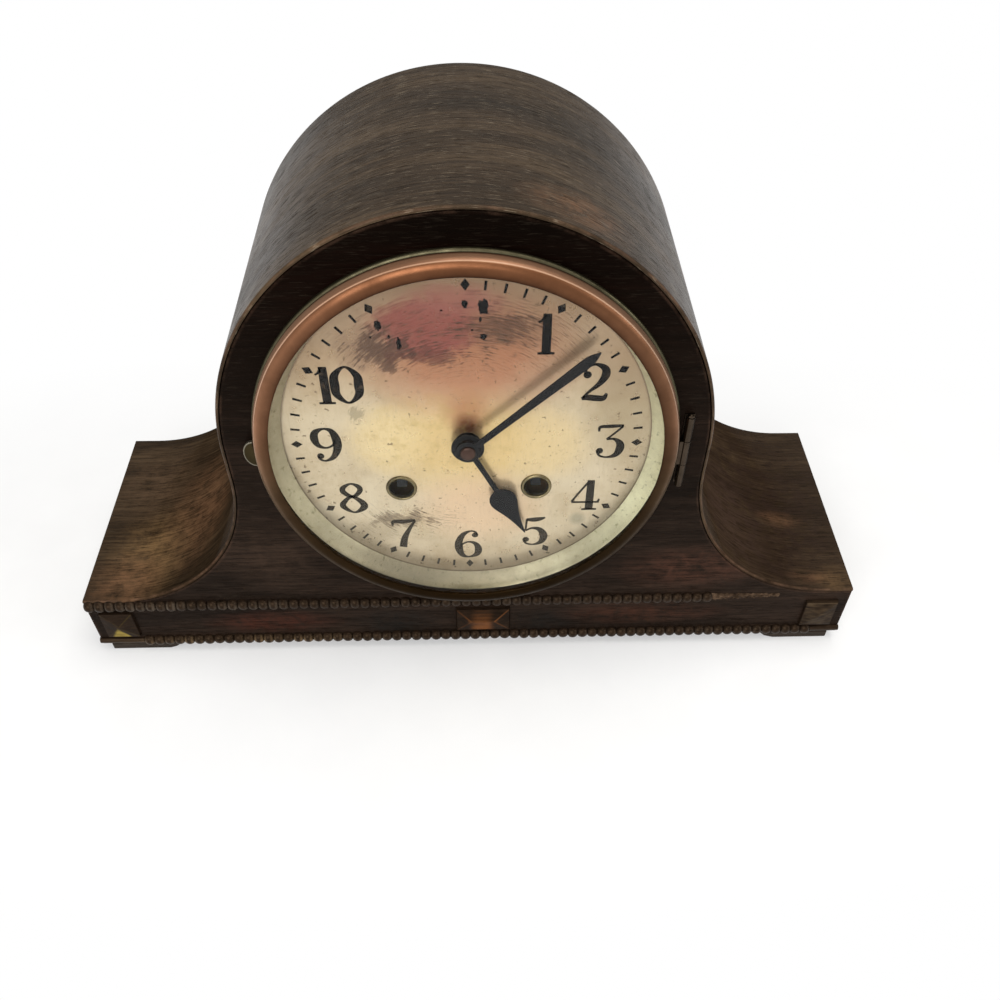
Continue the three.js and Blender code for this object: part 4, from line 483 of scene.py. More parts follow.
bead_wood = moulding("bead_wood", (0.055, 0.04, 0.029), 0.16, 0.22, [
    ((-110, 0, 4), (85, 20, 9), (0.17, 0.105, 0.045)),
    ((-140, 0, 30), (70, 20, 12), (0.085, 0.066, 0.048)),
])
broken_wood = moulding("broken_wood", (0.15, 0.095, 0.06))
boss_red = moulding("boss_red", (0.27, 0.095, 0.028), 0.06)
boss_yellow = moulding("boss_yellow", (0.3, 0.215, 0.04))
boss_olive = moulding("boss_olive", (0.105, 0.072, 0.04))


# Metals with tarnish and specks. Polish follows the mesh's own wear values, on the bezel also painted light;
# the crest colour is a painted highlight laid where the mesh's crest values are. A rim is a painted
# highlight:
# the centre and radii of the area inside it, then its colour. Painted light multiplies the colour by levels
# on an axis, lighter where light falls and darker where shade falls.
def metal(name, bright, dull, rough=0.3, tarnish=(0.42, 0.66), grain=260, metallic=1.0, shine=0.5,
          polish=None, crest=None, spots=None, rim=None, painted_light=()):
    s = Shader(name)
    spot = s.coords()
    fine = s.noise(spot, grain, 4, 0.6)
    cloud = s.plus(s.times(s.noise(spot, 70, 6, 0.62), 0.75), s.times(fine, 0.25))
    amount = s.step(cloud, *tarnish)
    specks = s.step(s.noise(spot, 900, 3, 0.6), 0.66, 0.74)
    colour = s.mix(amount, bright, dull)
    colour = s.over(colour, specks, 0.55, tuple(part * 0.35 for part in dull))
    if polish:
        colour = s.mix(s.attribute("wear"), colour, s.mix(s.times(amount, 0.5), polish, bright))
    if crest:
        # Painted highlight: a pale, less metallic colour where the mesh's crest values are
        painted_highlight = s.times(s.attribute("crest"), 0.85)
        colour = s.mix(painted_highlight, colour, crest)
        metallic = s.minus(1.0, painted_highlight)
    if spots:
        flecks = s.step(s.noise(spot, 420, 4, 0.65), 0.58, 0.68)
        colour = s.over(colour, flecks, 0.6, spots)
    if rim:
        # Painted highlight: pale outside the given area, round the edge
        centre, radii, tint = rim
        colour = s.mix(s.patch(spot, centre, radii, 0.12), tint, colour)
    # Painted light and shade: the colour multiplied by levels along an axis
    for axis, levels in painted_light:
        low, high = levels[0][0], levels[-1][0]
        stops = [((level - low) / (high - low), tint) for level, tint in levels]
        colour = s.mix(1.0, colour, s.ramp(s.share(spot, axis, low, high), *stops), "MULTIPLY")
    unevenness = s.plus(s.times(amount, 0.14), s.times(fine, 0.12))
    s.coat(colour, s.plus(rough - 0.06, unevenness), metallic, shine)
    s.bump(fine, 0.12)
    return s.material


# Painted light and shade on the bezel, multiplying its colour: much darker toward the bottom, a little
# darker at the very top, lighter on the left and darker on the right
BEZEL_LIGHT_AND_SHADE = (
    ("Z", (
        (DIAL_Z - BEZEL_RADIUS, (0.2, 0.25, 0.18)), (DIAL_Z - 45, (0.34, 0.44, 0.38)),
        (DIAL_Z - 12, (0.64, 0.8, 0.78)), (DIAL_Z + 15, (1.0, 1.0, 0.97)),
        (DIAL_Z + 50, (0.92, 0.87, 0.8)), (DIAL_Z + BEZEL_RADIUS, (0.7, 0.58, 0.46)),
    )),
    ("X", (
        (-BEZEL_RADIUS, (1.35, 1.36, 1.34)), (-50, (1.3, 1.3, 1.3)),
        (-10, (0.98, 0.97, 0.97)), (BEZEL_RADIUS, (0.9, 0.92, 0.9)),
    )),
)
# Painted light and shade on the reflector ring, multiplying its colour: dark at the very bottom, brighter a
# little below the middle, darker on the left and lighter on the right
REFLECTOR_LIGHT_AND_SHADE = (
    ("Z", (
        (DIAL_Z - 78, (0.16, 0.15, 0.1)), (DIAL_Z - 76, (0.44, 0.42, 0.38)),
        (DIAL_Z - 73, (0.49, 0.48, 0.46)), (DIAL_Z - 60, (0.66, 0.655, 0.64)),
        (DIAL_Z - 30, (1.2, 1.25, 1.25)), (DIAL_Z + 30, (1, 1, 1)),
    )),
    ("X", ((-78, (0.8, 0.76, 0.72)), (0, (0.95, 0.94, 0.93)), (78, (1.25, 1.3, 1.25)))),
)
OLD_TARNISH = (0.34, 0.6)
CLEAN_TARNISH = (0.36, 0.78)
brass = metal("brass", (0.60, 0.43, 0.18), (0.47, 0.315, 0.12), 0.3, CLEAN_TARNISH, (1500, 1500, 40))
gong_metal = metal("gong_metal", (0.03, 0.032, 0.04), (0.05, 0.04, 0.035), 0.3, metallic=0.8)
old_brass = metal("old_brass", (0.34, 0.28, 0.15), (0.11, 0.088, 0.045), 0.34, OLD_TARNISH)
# Bezel copper: polish on the rubbed parts, brighter toward the top as painted light, and a pale painted
# highlight along the crest
bezel_metal = metal(
    "bezel_metal", (0.075, 0.033, 0.017), (0.05, 0.022, 0.011), 0.38, (0.38, 0.68), 60,
    polish=(0.30, 0.148, 0.086), crest=(0.72, 0.5, 0.38), painted_light=BEZEL_LIGHT_AND_SHADE,
)
reflector_metal = metal(
    "reflector_metal", (0.58, 0.53, 0.37), (0.40, 0.355, 0.24), 0.42, (0.4, 0.78), 500, 0.8,
    spots=(0.2, 0.18, 0.085), painted_light=REFLECTOR_LIGHT_AND_SHADE,
)
olive_brass = metal("olive_brass", (0.13, 0.115, 0.068), (0.06, 0.052, 0.03), 0.36, OLD_TARNISH)
dark_bronze = metal("dark_bronze", (0.05, 0.039, 0.025), (0.018, 0.014, 0.009), 0.32, OLD_TARNISH)
# Thumb tab: dark brass with a painted highlight, a pale rim round its edge
tab_brass = metal(
    "tab_brass", (0.05, 0.037, 0.016), (0.026, 0.02, 0.01), 0.36, OLD_TARNISH,
    rim=(TAB_SPOT, (4.15, 40, 5.75), (0.36, 0.33, 0.26)),
)
hinge_bronze = metal("hinge_bronze", (0.09, 0.066, 0.047), (0.036, 0.026, 0.018), 0.24, OLD_TARNISH)
dark_steel = metal("dark_steel", (0.04, 0.042, 0.043), (0.018, 0.018, 0.017), 0.34)
steel = metal("steel", (0.52, 0.53, 0.55), (0.42, 0.42, 0.42), 0.26, CLEAN_TARNISH, (1500, 1500, 60))
iron = metal("iron", (0.09, 0.09, 0.095), (0.045, 0.04, 0.038), 0.55)
blued = metal("blued", (0.006, 0.006, 0.007), (0.010, 0.0095, 0.009), 0.3, metallic=0.0, shine=0.12)
nut_metal = metal("nut_metal", (0.09, 0.05, 0.037), (0.045, 0.025, 0.018), 0.3)


# Stains of the dial, with a few patches of painted shade and painted reflection: place from its centre,
# radii, colour and strength, then softness, raggedness and blur
TARNISH = [
    ((0, 0), (52, 36), (0.72, 0.53, 0.235), 0.85),
    ((-32, 2), (22, 22), (0.82, 0.66, 0.35), 0.6),
    ((34, -2), (22, 22), (0.76, 0.60, 0.32), 0.55),
    ((4, -34), (36, 26), (0.74, 0.53, 0.335), 0.75),
    # Painted shade: the dial darker towards its right edge
    ((62, 18), (24, 40), (0.32, 0.245, 0.14), 0.55),
    ((0, 40), (54, 36), (0.52, 0.265, 0.15), 0.95),
]
STAINS = [
    ((-4, 52), (38, 15), (0.25, 0.11, 0.065), 0.62, 0.8, 0.7, 0.16),
    ((-14, 50), (25, 16), (0.25, 0.072, 0.056), 0.92, 0.6, 0.5, 0.2),
    ((-4, 61), (24, 9), (0.29, 0.105, 0.08), 0.75, 0.85, 0.4),
    ((-35, 43), (17, 13), (0.2, 0.125, 0.08), 0.7, 0.9, 0.6),
    ((-30, 42), (19, 12), (0.07, 0.036, 0.024), 0.72, 0.95, 1.3, 0.1),
    ((-14, 40), (22, 7), (0.1, 0.035, 0.026), 0.6, 0.95, 1.3, 0.1),
    ((16, 49), (24, 9), (0.2, 0.1, 0.055), 0.55, 0.8, 0.7),
    ((14, 51), (24, 8), (0.06, 0.03, 0.018), 0.55, 0.98, 1.5, 0.14),
    ((-29, -40), (19, 7), (0.13, 0.085, 0.045), 0.6, 0.98, 1.6, 0.1),
    ((0, 14), (13, 15), (0.40, 0.17, 0.07), 0.7, 0.95, 0.1),
    # Painted reflection: a dark brown spot just above the centre, where the hub is mirrored
    ((0, 8), (8, 9), (0.12, 0.032, 0.006), 0.95, 0.95, 0.08),
    ((-40, -46), (16, 9), (0.33, 0.26, 0.16), 0.45),
    ((46, -41), (5, 5), (0.28, 0.26, 0.18), 0.6),
    ((-42, 14), (5, 6), (0.2, 0.17, 0.11), 0.5, 0.9, 1.2, 0.12),
]


# Silvered dial with golden and pink tarnish, red and dark stains, specks and arc scratches, painted shade
# and reflection toward the top, and a painted shadow line along the border
def dial_material():
    s = Shader("dial_silver")
    spot = s.coords()
    parts = s.split(spot)
    x = parts[0]
    z = s.minus(parts[2], DIAL_Z * MM)
    radius = s.math("SQRT", s.plus(s.times(x, x), s.times(z, z)))
    turn = s.math("ARCTAN2", x, z)
    mottle = s.noise(spot, 160, 5, 0.66)
    fine = s.noise(spot, 700, 4, 0.6)
    arcs = s.noise(s.joined(s.times(turn, 8.0), s.times(radius, 1500), 0.0), 1, 5, 0.72)
    ragged = s.plus(s.times(mottle, 0.45), s.times(arcs, 0.55))

    def area(centre, radii, softness):
        return s.patch(spot, (centre[0], DIAL_DEPTH, DIAL_Z + centre[1]), (radii[0], 30, radii[1]), softness)

    def stain(current, centre, radii, tint, strength, softness=0.85, raggedness=0.16, blur=0.32):
        reach = area(centre, radii, softness)
        rugged = s.plus(reach, s.times(s.minus(ragged, 0.5), raggedness * 4))
        inside = s.ramp(reach, (0.02, 0.0), (0.3, strength))
        return s.over(current, s.step(rugged, 0.44 - blur, 0.44 + blur), inside, tint)

    silver = s.plus(s.times(s.noise(spot, 42, 6, 0.62), 0.6), s.times(mottle, 0.4))
    colour = s.ramp(
        silver, (0.34, (0.50, 0.40, 0.25)), (0.52, (0.62, 0.525, 0.36)), (0.7, (0.69, 0.60, 0.43)),
    )
    for row in TARNISH:
        colour = stain(colour, *row)
    # Painted shade and reflection: the dial darker and pinker toward the top, a little darker at the bottom
    painted_shading = s.ramp(
        s.share(spot, "Z", DIAL_Z - 75, DIAL_Z + 75),
        (0.0, (0.93, 0.88, 0.84)), (0.2, (1, 1, 1)), (0.6, (1, 0.98, 0.96)),
        (0.76, (0.74, 0.63, 0.57)), (1.0, (0.38, 0.29, 0.25)),
    )
    colour = s.mix(1.0, colour, painted_shading, "MULTIPLY")
    for row in STAINS:
        colour = stain(colour, *row)
    zone = s.math("MAXIMUM", area((0, 48), (56, 22), 0.6), s.times(area((-27, -40), (28, 13), 0.7), 0.9))
    scratch = s.times(s.step(arcs, 0.52, 0.58), zone)
    patchy = s.step(mottle, 0.42, 0.54)
    colour = s.over(colour, s.times(scratch, patchy), 0.85, (0.055, 0.03, 0.018))
    specks = s.step(s.noise(spot, 420, 3, 0.55), 0.675, 0.705)
    colour = s.over(colour, specks, 0.7, (0.11, 0.065, 0.03))
    ochre = s.times(s.step(mottle, 0.5, 0.64), area((-12, 4), (52, 26), 0.7))
    colour = s.over(colour, ochre, 0.5, (0.5, 0.36, 0.14))
    # Painted shadow: a thin dark line along the dial's border, where the reflector meets it
    border = SIGHT_RADIUS * MM * 10
    border_shadow = s.step(s.times(radius, 10.0), border - 0.009, border - 0.002)
    colour = s.over(colour, border_shadow, 0.65, (0.08, 0.05, 0.028))
    brushed = s.step(s.noise(spot, (1500, 1, 130), 4, 0.65), 0.5, 0.66)
    colour = s.over(colour, brushed, 0.13, (0.30, 0.21, 0.12))
    dust = s.step(fine, 0.6, 0.7)
    colour = s.over(colour, dust, 0.32, (0.22, 0.15, 0.085))
    s.coat(colour, s.plus(0.2, s.times(mottle, 0.2)), 0.62)
    s.bump(fine, 0.1)
    return s.material


# Black dial paint, thinned and brown where it is rubbed, greyer toward the bottom and blacker toward the top
# as painted reflection and shade
def paint_material():
    s = Shader("dial_paint")
    spot = s.coords()
    wear = s.step(s.noise(spot, 330, 5, 0.65), 0.56, 0.7)
    # Painted reflection and shade: the ink greyer toward the bottom and blacker toward the top
    ink = s.ramp(
        s.share(spot, "Z", DIAL_Z - 70, DIAL_Z + 70),
        (0.0, (0.05, 0.042, 0.03)), (0.5, (0.02, 0.0175, 0.0135)), (0.75, (0.006, 0.0055, 0.0055)),
    )
    colour = s.over(ink, wear, 0.55, (0.1, 0.07, 0.045))
    s.coat(colour, s.plus(0.4, s.times(wear, 0.25)), shine=0.04)
    return s.material


# Thin clear glass: see-through, with a mirror that grows towards the rim
def glass_material():
    s = Shader("clear_glass")
    haze = s.noise(s.coords(), 60, 5, 0.6)
    colour = s.ramp(haze, (0.3, (0.93, 0.95, 0.94)), (0.7, (0.99, 1.0, 0.995)))
    s.coat(colour, s.plus(0.02, s.times(haze, 0.05)), 1.0)
    slant = s.node("ShaderNodeLayerWeight", {"Blend": 0.5}).outputs["Facing"]
    s.put(s.surface.inputs["Alpha"], s.plus(0.007, s.times(s.math("POWER", slant, 5.0), 0.4)))
    return s.material


dial_silver = dial_material()
dial_paint = paint_material()
clear_glass = glass_material()


# Case: the shell's section as insets and depths, rounded at the front and back edges
WRAP_WEAR = {1: 0.3, 2: 1.0, 3: 1.0, 4: 0.3}


def build_wrap():
    round_edge = [(LIP, 0.0), (0.8, 0.0), (0.4, 0.1), (0.12, 0.38), (0.0, 0.85)]
    near, far = 2.4, CASE_DEPTH - 2.4
    inner_back = CASE_DEPTH - BACK_THICKNESS
    section = [
        *round_edge, (0.0, 1.3),
        *[(0.0, near + (far - near) * k / 8) for k in range(9)],
        *[(inset, CASE_DEPTH - depth) for inset, depth in reversed(round_edge)],
        (LIP, inner_back), (WRAP_THICKNESS, inner_back),
        (WRAP_THICKNESS, FRONT_THICKNESS), (LIP, FRONT_THICKNESS),
    ]
    columns = zip(*[case_path(inset) for inset, depth in section])
    rings = [[(x, depth, z) for (x, z), (inset, depth) in zip(column, section)] for column in columns]
    outline = case_path(0.0)
    length = [0.0]
    for (x0, z0), (x1, z1) in zip(outline, outline[1:]):
        length.append(length[-1] + math.hypot(x1 - x0, z1 - z0))
    wear, along, across = [], [], []
    for run in length:
        for k, (inset, depth) in enumerate(section):
            wear.append(WRAP_WEAR.get(k, 0.0))
            along.append(run * MM)
            across.append((depth + inset) * MM)
    verts, faces = skin(rings)
    size = len(section)
    faces.append(tuple(range(size)))
    faces.append(tuple(len(verts) - size + k for k in range(size)))
    values = {"wear": wear, "along": along, "across": across}
    add_piece("bent_shell", (verts, faces), oak_wrap, "case", ["case_wrap"], 40, values)


BOARD_EDGE = [(0.0, 0.75), (0.08, 0.35), (0.3, 0.08), (0.65, 0.0)]


def build_front():
    hole = circle(0, DIAL_Z, DIAL_HOLE_RADIUS, sides=160)
    shape, wear = plate(panel_outline, [hole], BOARD_EDGE, 0.0, FRONT_THICKNESS)
    add_piece("front_board", shape, oak_panel, "case", ["case_front"], 40, {"wear": wear})


BEAD_ARC = [math.radians(-94 + 188 * k / 20) for k in range(21)]


def half_round(x, z, radius):
    return [(x, -radius * math.cos(a), z + radius * math.sin(a)) for a in BEAD_ARC]


# Turned beads, each a little different, half sunk in the board
def bead_rings(start, stop, z, rng):
    count = round((stop - start) / BEAD_PITCH)
    pitch = (stop - start) / count
    sweep = math.asin(min(pitch / 2 / BEAD_RADIUS, 1))
    rings, wear = [], []
    for bead in range(count):
        middle = start + (bead + 0.5) * pitch
        swell = 1 + rng.uniform(-0.035, 0.035)
        rubbed = rng.uniform(0.25, 1.0)
        for step in range(BEAD_STEPS + 1):
            t = sweep * (2 * step / BEAD_STEPS - 1)
            crease = 0.82 if step in (0, BEAD_STEPS) else 1.0
            radius = BEAD_RADIUS * math.cos(t) * swell * crease
            rings.append(half_round(middle + BEAD_RADIUS * math.sin(t), z, radius))
            # Pale on each bead's shoulders and lower side: rubbed wood and painted highlight
            shoulder = math.exp(-((abs(t) / sweep - 0.62) / 0.2) ** 2)
            for a in BEAD_ARC:
                below = 0.8 * math.exp(-((a + 0.75) / 0.3) ** 2)
                wear.append(rubbed * max(shoulder * max(0.0, math.cos(a)), below))
    return rings, wear


def rod_rings(start, stop, z):
    rings, wear = [], []
    for step in range(ROD_STEPS + 1):
        x = start + (stop - start) * step / ROD_STEPS
        rings.append(half_round(x, z, ROD_RADIUS * (1 + 0.06 * noise.noise((x * 0.21, z, 3.1)))))
        wear += [0.4 * max(0.0, math.cos(a)) ** 3 for a in BEAD_ARC]
    return rings, wear


def add_strip(name, runs, nodes):
    shape = merged(*[skin(rings, around=False) for rings, wear in runs])
    values = {"wear": [number for rings, wear in runs for number in wear]}
    add_piece(name, shape, bead_wood, "case", nodes, 60, values)


def build_beads():
    rng = random.Random(11)
    add_strip("beads_top", [bead_rings(-HALF_WIDTH, TORN_X, TOP_BEAD_Z, rng)], ["bead_strip_top"])
    add_strip("beads_bottom", [
        rod_rings(-HALF_WIDTH, ROD_LEFT_X, BOTTOM_BEAD_Z),
        bead_rings(ROD_LEFT_X, ROD_RIGHT_X, BOTTOM_BEAD_Z, rng),
        rod_rings(ROD_RIGHT_X, HALF_WIDTH, BOTTOM_BEAD_Z),
    ], ["bead_strip_bottom"])


# The torn base of the missing beads, thinning towards the right
def build_sliver():
    rings, wear = [], []
    for step in range(TORN_STEPS + 1):
        share = step / TORN_STEPS
        x = TORN_X - TORN_OVERLAP + TORN_LENGTH * share
        tall = (1.9 - 0.9 * share) * (1 + 0.7 * noise.noise((x * 0.55, 2.0, 0.0)))
        ring = []
        for k in range(TORN_ROWS + 1):
            across = 2 * k / TORN_ROWS - 1
            rough = noise.noise((x * 0.8, across * 2.1, 7.0)) * 0.9
            depth = (1.2 - 0.8 * share + rough) * (1 - across ** 4)
            ring.append((x, -max(depth, 0.0), TOP_BEAD_Z + across * tall))
            wear.append(clamped(0.45 + 0.9 * noise.noise((x * 0.5, across * 1.4, 1.0))))
        rings.append(ring)
    shape = skin(rings, around=False)
    add_piece("broken_strip", shape, broken_wood, "case", (), 50, {"wear": wear})


# Hipped boss with soft ridges; the rub follows the facets
def build_boss(name, node, material, middle, size, rub):
    width, height = size
    rings, wear = [], []
    for i in range(BOSS_STEPS + 1):
        u = 2 * i / BOSS_STEPS - 1
        ring = []
        for k in range(BOSS_STEPS + 1):
            v = 2 * k / BOSS_STEPS - 1
            side, end = 1 - abs(v), (1 - abs(u)) * width / height
            slope = (max(side, 1e-4) ** -9 + max(end, 1e-4) ** -9) ** (-1 / 9)
            rise = BOSS_EDGE + BOSS_RISE * slope + 0.05 * noise.noise((u * 5 + middle, v * 5, 0.3))
            if min(side, end) < 0.015:
                rise = 0.0
            ring.append((middle + u * width / 2, -rise, BOSS_Z + v * height / 2))
            wear.append(rub(u, v, side - end) * clamped((slope - 0.03) * 14))
        rings.append(ring)
    add_piece(name, skin(rings, around=False), material, "case", [node], 50, {"wear": wear})


def rub_centre(u, v, hip):
    middle = math.exp(-((u + 0.05) / 0.36) ** 4)
    if hip < 0:
        face = middle * (0.5 if v < 0 else 0.24 - 0.18 * v + 0.06 * math.sin(v * 24))
    else:
        face = 0.3 * max(0.0, 1 - abs(abs(u) - 0.42) * 7)
    ridge = max(0.0, 1 - abs(hip) * 13) * (0.75 - 0.6 * abs(u) + (0.2 if u > 0 and v > 0 else 0.0))
    return clamped(max(face, ridge))


def rub_lower(u, v, hip):
    return clamped((-v - abs(u + 0.12) * 1.5) * 4) + max(0.0, 0.06 - abs(hip)) * 2


def rub_streaks(u, v, hip):
    return clamped(0.2 + 0.45 * noise.noise((u * 2.1, v * 9, 4.0)) + (0.6 if v > 0.84 else 0.0))


def build_bosses():
    build_boss("boss_point_left", "boss_left", boss_yellow, -CORNER_BOSS_X, CORNER_BOSS_SIZE, rub_lower)
    build_boss("boss_point_centre", "boss_centre", boss_red, CENTRE_BOSS_X, CENTRE_BOSS_SIZE, rub_centre)
    build_boss("boss_point_right", "boss_right", boss_olive, CORNER_BOSS_X, CORNER_BOSS_SIZE, rub_streaks)


# Numerals as pen strokes in thousandths of their height: points across and up, each with the pen's width
# there, and round ends with their radius
LOOPS = {
    "0": [[
        (340, 975, 50), (585, 760, 160), (610, 500, 200), (585, 240, 160),
        (340, 25, 50), (95, 240, 160), (70, 500, 200), (95, 760, 160),
    ]],
    "8": [[
        (340, 975, 50), (530, 880, 120), (545, 730, 120), (360, 555, 90),
        (150, 690, 130), (135, 840, 120),
    ], [
        (330, 550, 80), (120, 380, 120), (85, 220, 140), (340, 25, 50),
        (595, 190, 165), (570, 360, 150),
    ]],
}
LINES = {
    "1": [
        [(390, 985, 170), (390, 600, 185), (390, 20, 185)],
        [(200, 780, 35), (280, 830, 50), (360, 950, 80)],
        [(200, 20, 45), (390, 25, 60), (580, 20, 45)],
    ],
    "2": [[
        (100, 720, 60), (130, 880, 55), (320, 972, 60), (530, 870, 150),
        (565, 690, 180), (440, 460, 120), (220, 250, 60), (70, 70, 55),
    ], [
        (60, 50, 60), (200, 90, 140), (380, 70, 150), (560, 70, 130), (630, 200, 50),
    ]],
    "3": [
        [(70, 800, 40), (90, 930, 70), (340, 950, 90), (650, 965, 60)],
        [(640, 950, 45), (460, 760, 45), (270, 570, 45)],
        [(270, 570, 45), (460, 570, 70), (600, 440, 160), (615, 280, 190),
         (530, 100, 130), (330, 25, 50), (140, 70, 50), (65, 200, 50)],
    ],
    "4": [
        [(460, 990, 170), (460, 500, 185), (460, 20, 185)],
        [(420, 970, 50), (200, 620, 50), (0, 280, 50)],
        [(0, 265, 50), (350, 265, 50), (700, 265, 50)],
        [(270, 20, 45), (460, 25, 60), (660, 20, 45)],
        [(680, 240, 40), (690, 310, 50), (710, 370, 30)],
    ],
    "5": [
        [(130, 930, 70), (300, 920, 130), (460, 940, 120), (620, 990, 40)],
        [(140, 940, 50), (125, 740, 45), (110, 530, 45)],
        [(110, 530, 40), (280, 620, 60), (480, 570, 130), (600, 350, 195),
         (540, 130, 140), (350, 25, 50), (150, 60, 50), (65, 180, 50)],
    ],
    "6": [[
        (580, 840, 50), (530, 940, 50), (400, 975, 50), (210, 860, 120),
        (90, 600, 180), (85, 340, 195), (170, 100, 130), (350, 25, 50),
        (550, 120, 140), (605, 300, 180), (540, 500, 120), (370, 585, 50),
        (200, 520, 50), (110, 380, 50),
    ]],
    "7": [
        [(60, 780, 35), (85, 920, 90), (340, 920, 125), (660, 960, 70)],
        [(650, 950, 50), (470, 620, 100), (340, 320, 160), (280, 0, 190)],
    ],
}
BALLS = {
    "2": (150, 700, 95), "3": (125, 220, 90), "5": (125, 210, 90), "6": (520, 830, 85),
}
GLYPH_HEIGHT = 1000
GLYPH_MIDDLE = 340
PEN_SPREAD = 1.06
PEN_BLEED = 8


# The nine is the six turned round
def half_turned(x, y, width):
    return (2 * GLYPH_MIDDLE - x, GLYPH_HEIGHT - y, width)


LINES["9"] = [[half_turned(*point) for point in LINES["6"][0]]]
BALLS["9"] = half_turned(*BALLS["6"])
NUMERAL_HEIGHT = 16.4
NUMERAL_SPOTS = {
    "1": (28.4, 48.0), "2": (48.2, 27.6), "3": (56.1, 0.0), "4": (48.6, -27.8), "5": (27.8, -48.2),
    "6": (-0.9, -55.3), "7": (-28.6, -48.2), "8": (-48.6, -27.8), "9": (-55.6, 0.0), "10": (-47.2, 27.5),
}
TEN_SHIFTS = (-6.0, 2.9)


# Smooth run of centre points and widths through the given ones
def spline(points, loop):
    count = len(points)
    made = []
    for i in range(count if loop else count - 1):
        places = range(i - 1, i + 3)
        near = [points[k % count] if loop else points[min(max(k, 0), count - 1)] for k in places]
        for step in range(SPLINE_STEPS):
            t = step / SPLINE_STEPS
            made.append(tuple(
                0.5 * (2 * b + (c - a) * t + (2 * a - 5 * b + 4 * c - d) * t ** 2
                       + (3 * b - a - 3 * c + d) * t ** 3)
                for a, b, c, d in zip(*near)
            ))
    if not loop:
        made.append(points[-1])
    return made


# A pen stroke as a strip of quads in glyph units
def stroke(points, loop):
    run = spline(points, loop)
    count = len(run)
    left, right = [], []
    for i, (x, y, pen) in enumerate(run):
        half = (pen * PEN_SPREAD + PEN_BLEED) / 2
        dx, dy = heading(run, i, loop)
        left.append((x - dy * half, y + dx * half))
        right.append((x + dy * half, y - dx * half))
    pairs = [(i, (i + 1) % count) for i in range(count if loop else count - 1)]
    return left + right, [(i, j, count + j, count + i) for i, j in pairs]


def glyph(character):
    parts = [stroke(points, True) for points in LOOPS.get(character, [])]
    parts += [stroke(points, False) for points in LINES.get(character, [])]
    if character in BALLS:
        parts.append((circle(*BALLS[character], BALL_SIDES), [tuple(range(BALL_SIDES))]))
    return merged(*parts)


# Painted marks lie flat, all at one depth, a hair in front of the dial
def add_painted(name, flat_parts):
    verts, faces = merged(*flat_parts)
    lifted = [(x, DIAL_DEPTH - PAINT_THICKNESS, DIAL_Z + z) for x, z in verts]
    add_piece(name, (lifted, faces), dial_paint, "case")


def build_numerals():
    scale = NUMERAL_HEIGHT / GLYPH_HEIGHT
    for name, (x, z) in NUMERAL_SPOTS.items():
        parts = []
        for character, shift in zip(name, TEN_SHIFTS if name == "10" else (0.0,)):
            verts, faces = glyph(character)
            left, low = x + shift - GLYPH_MIDDLE * scale, z - NUMERAL_HEIGHT / 2
            parts.append(([(left + u * scale, low + v * scale) for u, v in verts], faces))
        add_painted("numeral_" + name, parts)


# Flakes of paint left where the top two numerals have rubbed away: place, half width and half height
FLAKES = [
    (6.6, 58.6, 1.9, 3.2), (0.3, 60.0, 1.2, 1.6), (-30.5, 52.0, 1.5, 2.2), (-23.6, 44.6, 1.0, 2.6),
    (6.6, 47.2, 1.3, 1.4), (5.6, 54.0, 0.6, 1.0), (-27.0, 47.5, 0.5, 0.8), (2.6, 49.8, 0.5, 0.5),
    (-8.0, 57.5, 0.5, 0.4), (-33.6, 47.4, 0.5, 0.6),
]


def build_flakes():
    rng = random.Random(5)
    sides = 22
    parts = []
    for x, z, across, tall in FLAKES:
        ring = []
        for k in range(sides):
            t = 2 * math.pi * k / sides
            wobble = rng.uniform(0.7, 1.15)
            ring.append((x + across * wobble * math.cos(t), z + tall * wobble * math.sin(t)))
        parts.append((ring, [tuple(range(sides))]))
    add_painted("paint_flakes", parts)


HOUR_MARK = [(0, 64.8), (1.65, 67.1), (0, 69.4), (-1.65, 67.1)]
MINUTE_MARK = [(-0.46, 65.3), (0.46, 65.3), (0.52, 68.9), (-0.52, 68.9)]
FADED_MINUTES = (56, 57, 58, 59)


def build_minute_track():
    parts = []
    for minute in range(60):
        if minute in FADED_MINUTES:
            continue
        angle = 2 * math.pi * minute / 60 + DIAL_TURN
        mark = MINUTE_MARK if minute % 5 else HOUR_MARK
        parts.append(([turned(x, z, angle) for x, z in mark], [(0, 1, 2, 3)]))
    add_painted("minute_track", parts)


# Dial and the rings round it
def build_dial():
    holes = [circle(0, DIAL_Z, CENTRE_HOLE_RADIUS, HOLE_SIDES)]
    holes += [circle(side * WINDING_X, WINDING_Z, WINDING_HOLE_RADIUS, HOLE_SIDES) for side in (-1, 1)]

    def rim(inset):
        return circle(0, DIAL_Z, REFLECTOR_RADIUS - inset, RING_SEGMENTS)

    shape = plate(rim, holes, [(0.0, 0.3), (0.3, 0.0)], DIAL_DEPTH, DIAL_DEPTH + DIAL_THICKNESS)[0]
    add_piece("dial_face", shape, dial_silver, "case", ["dial_plate"])


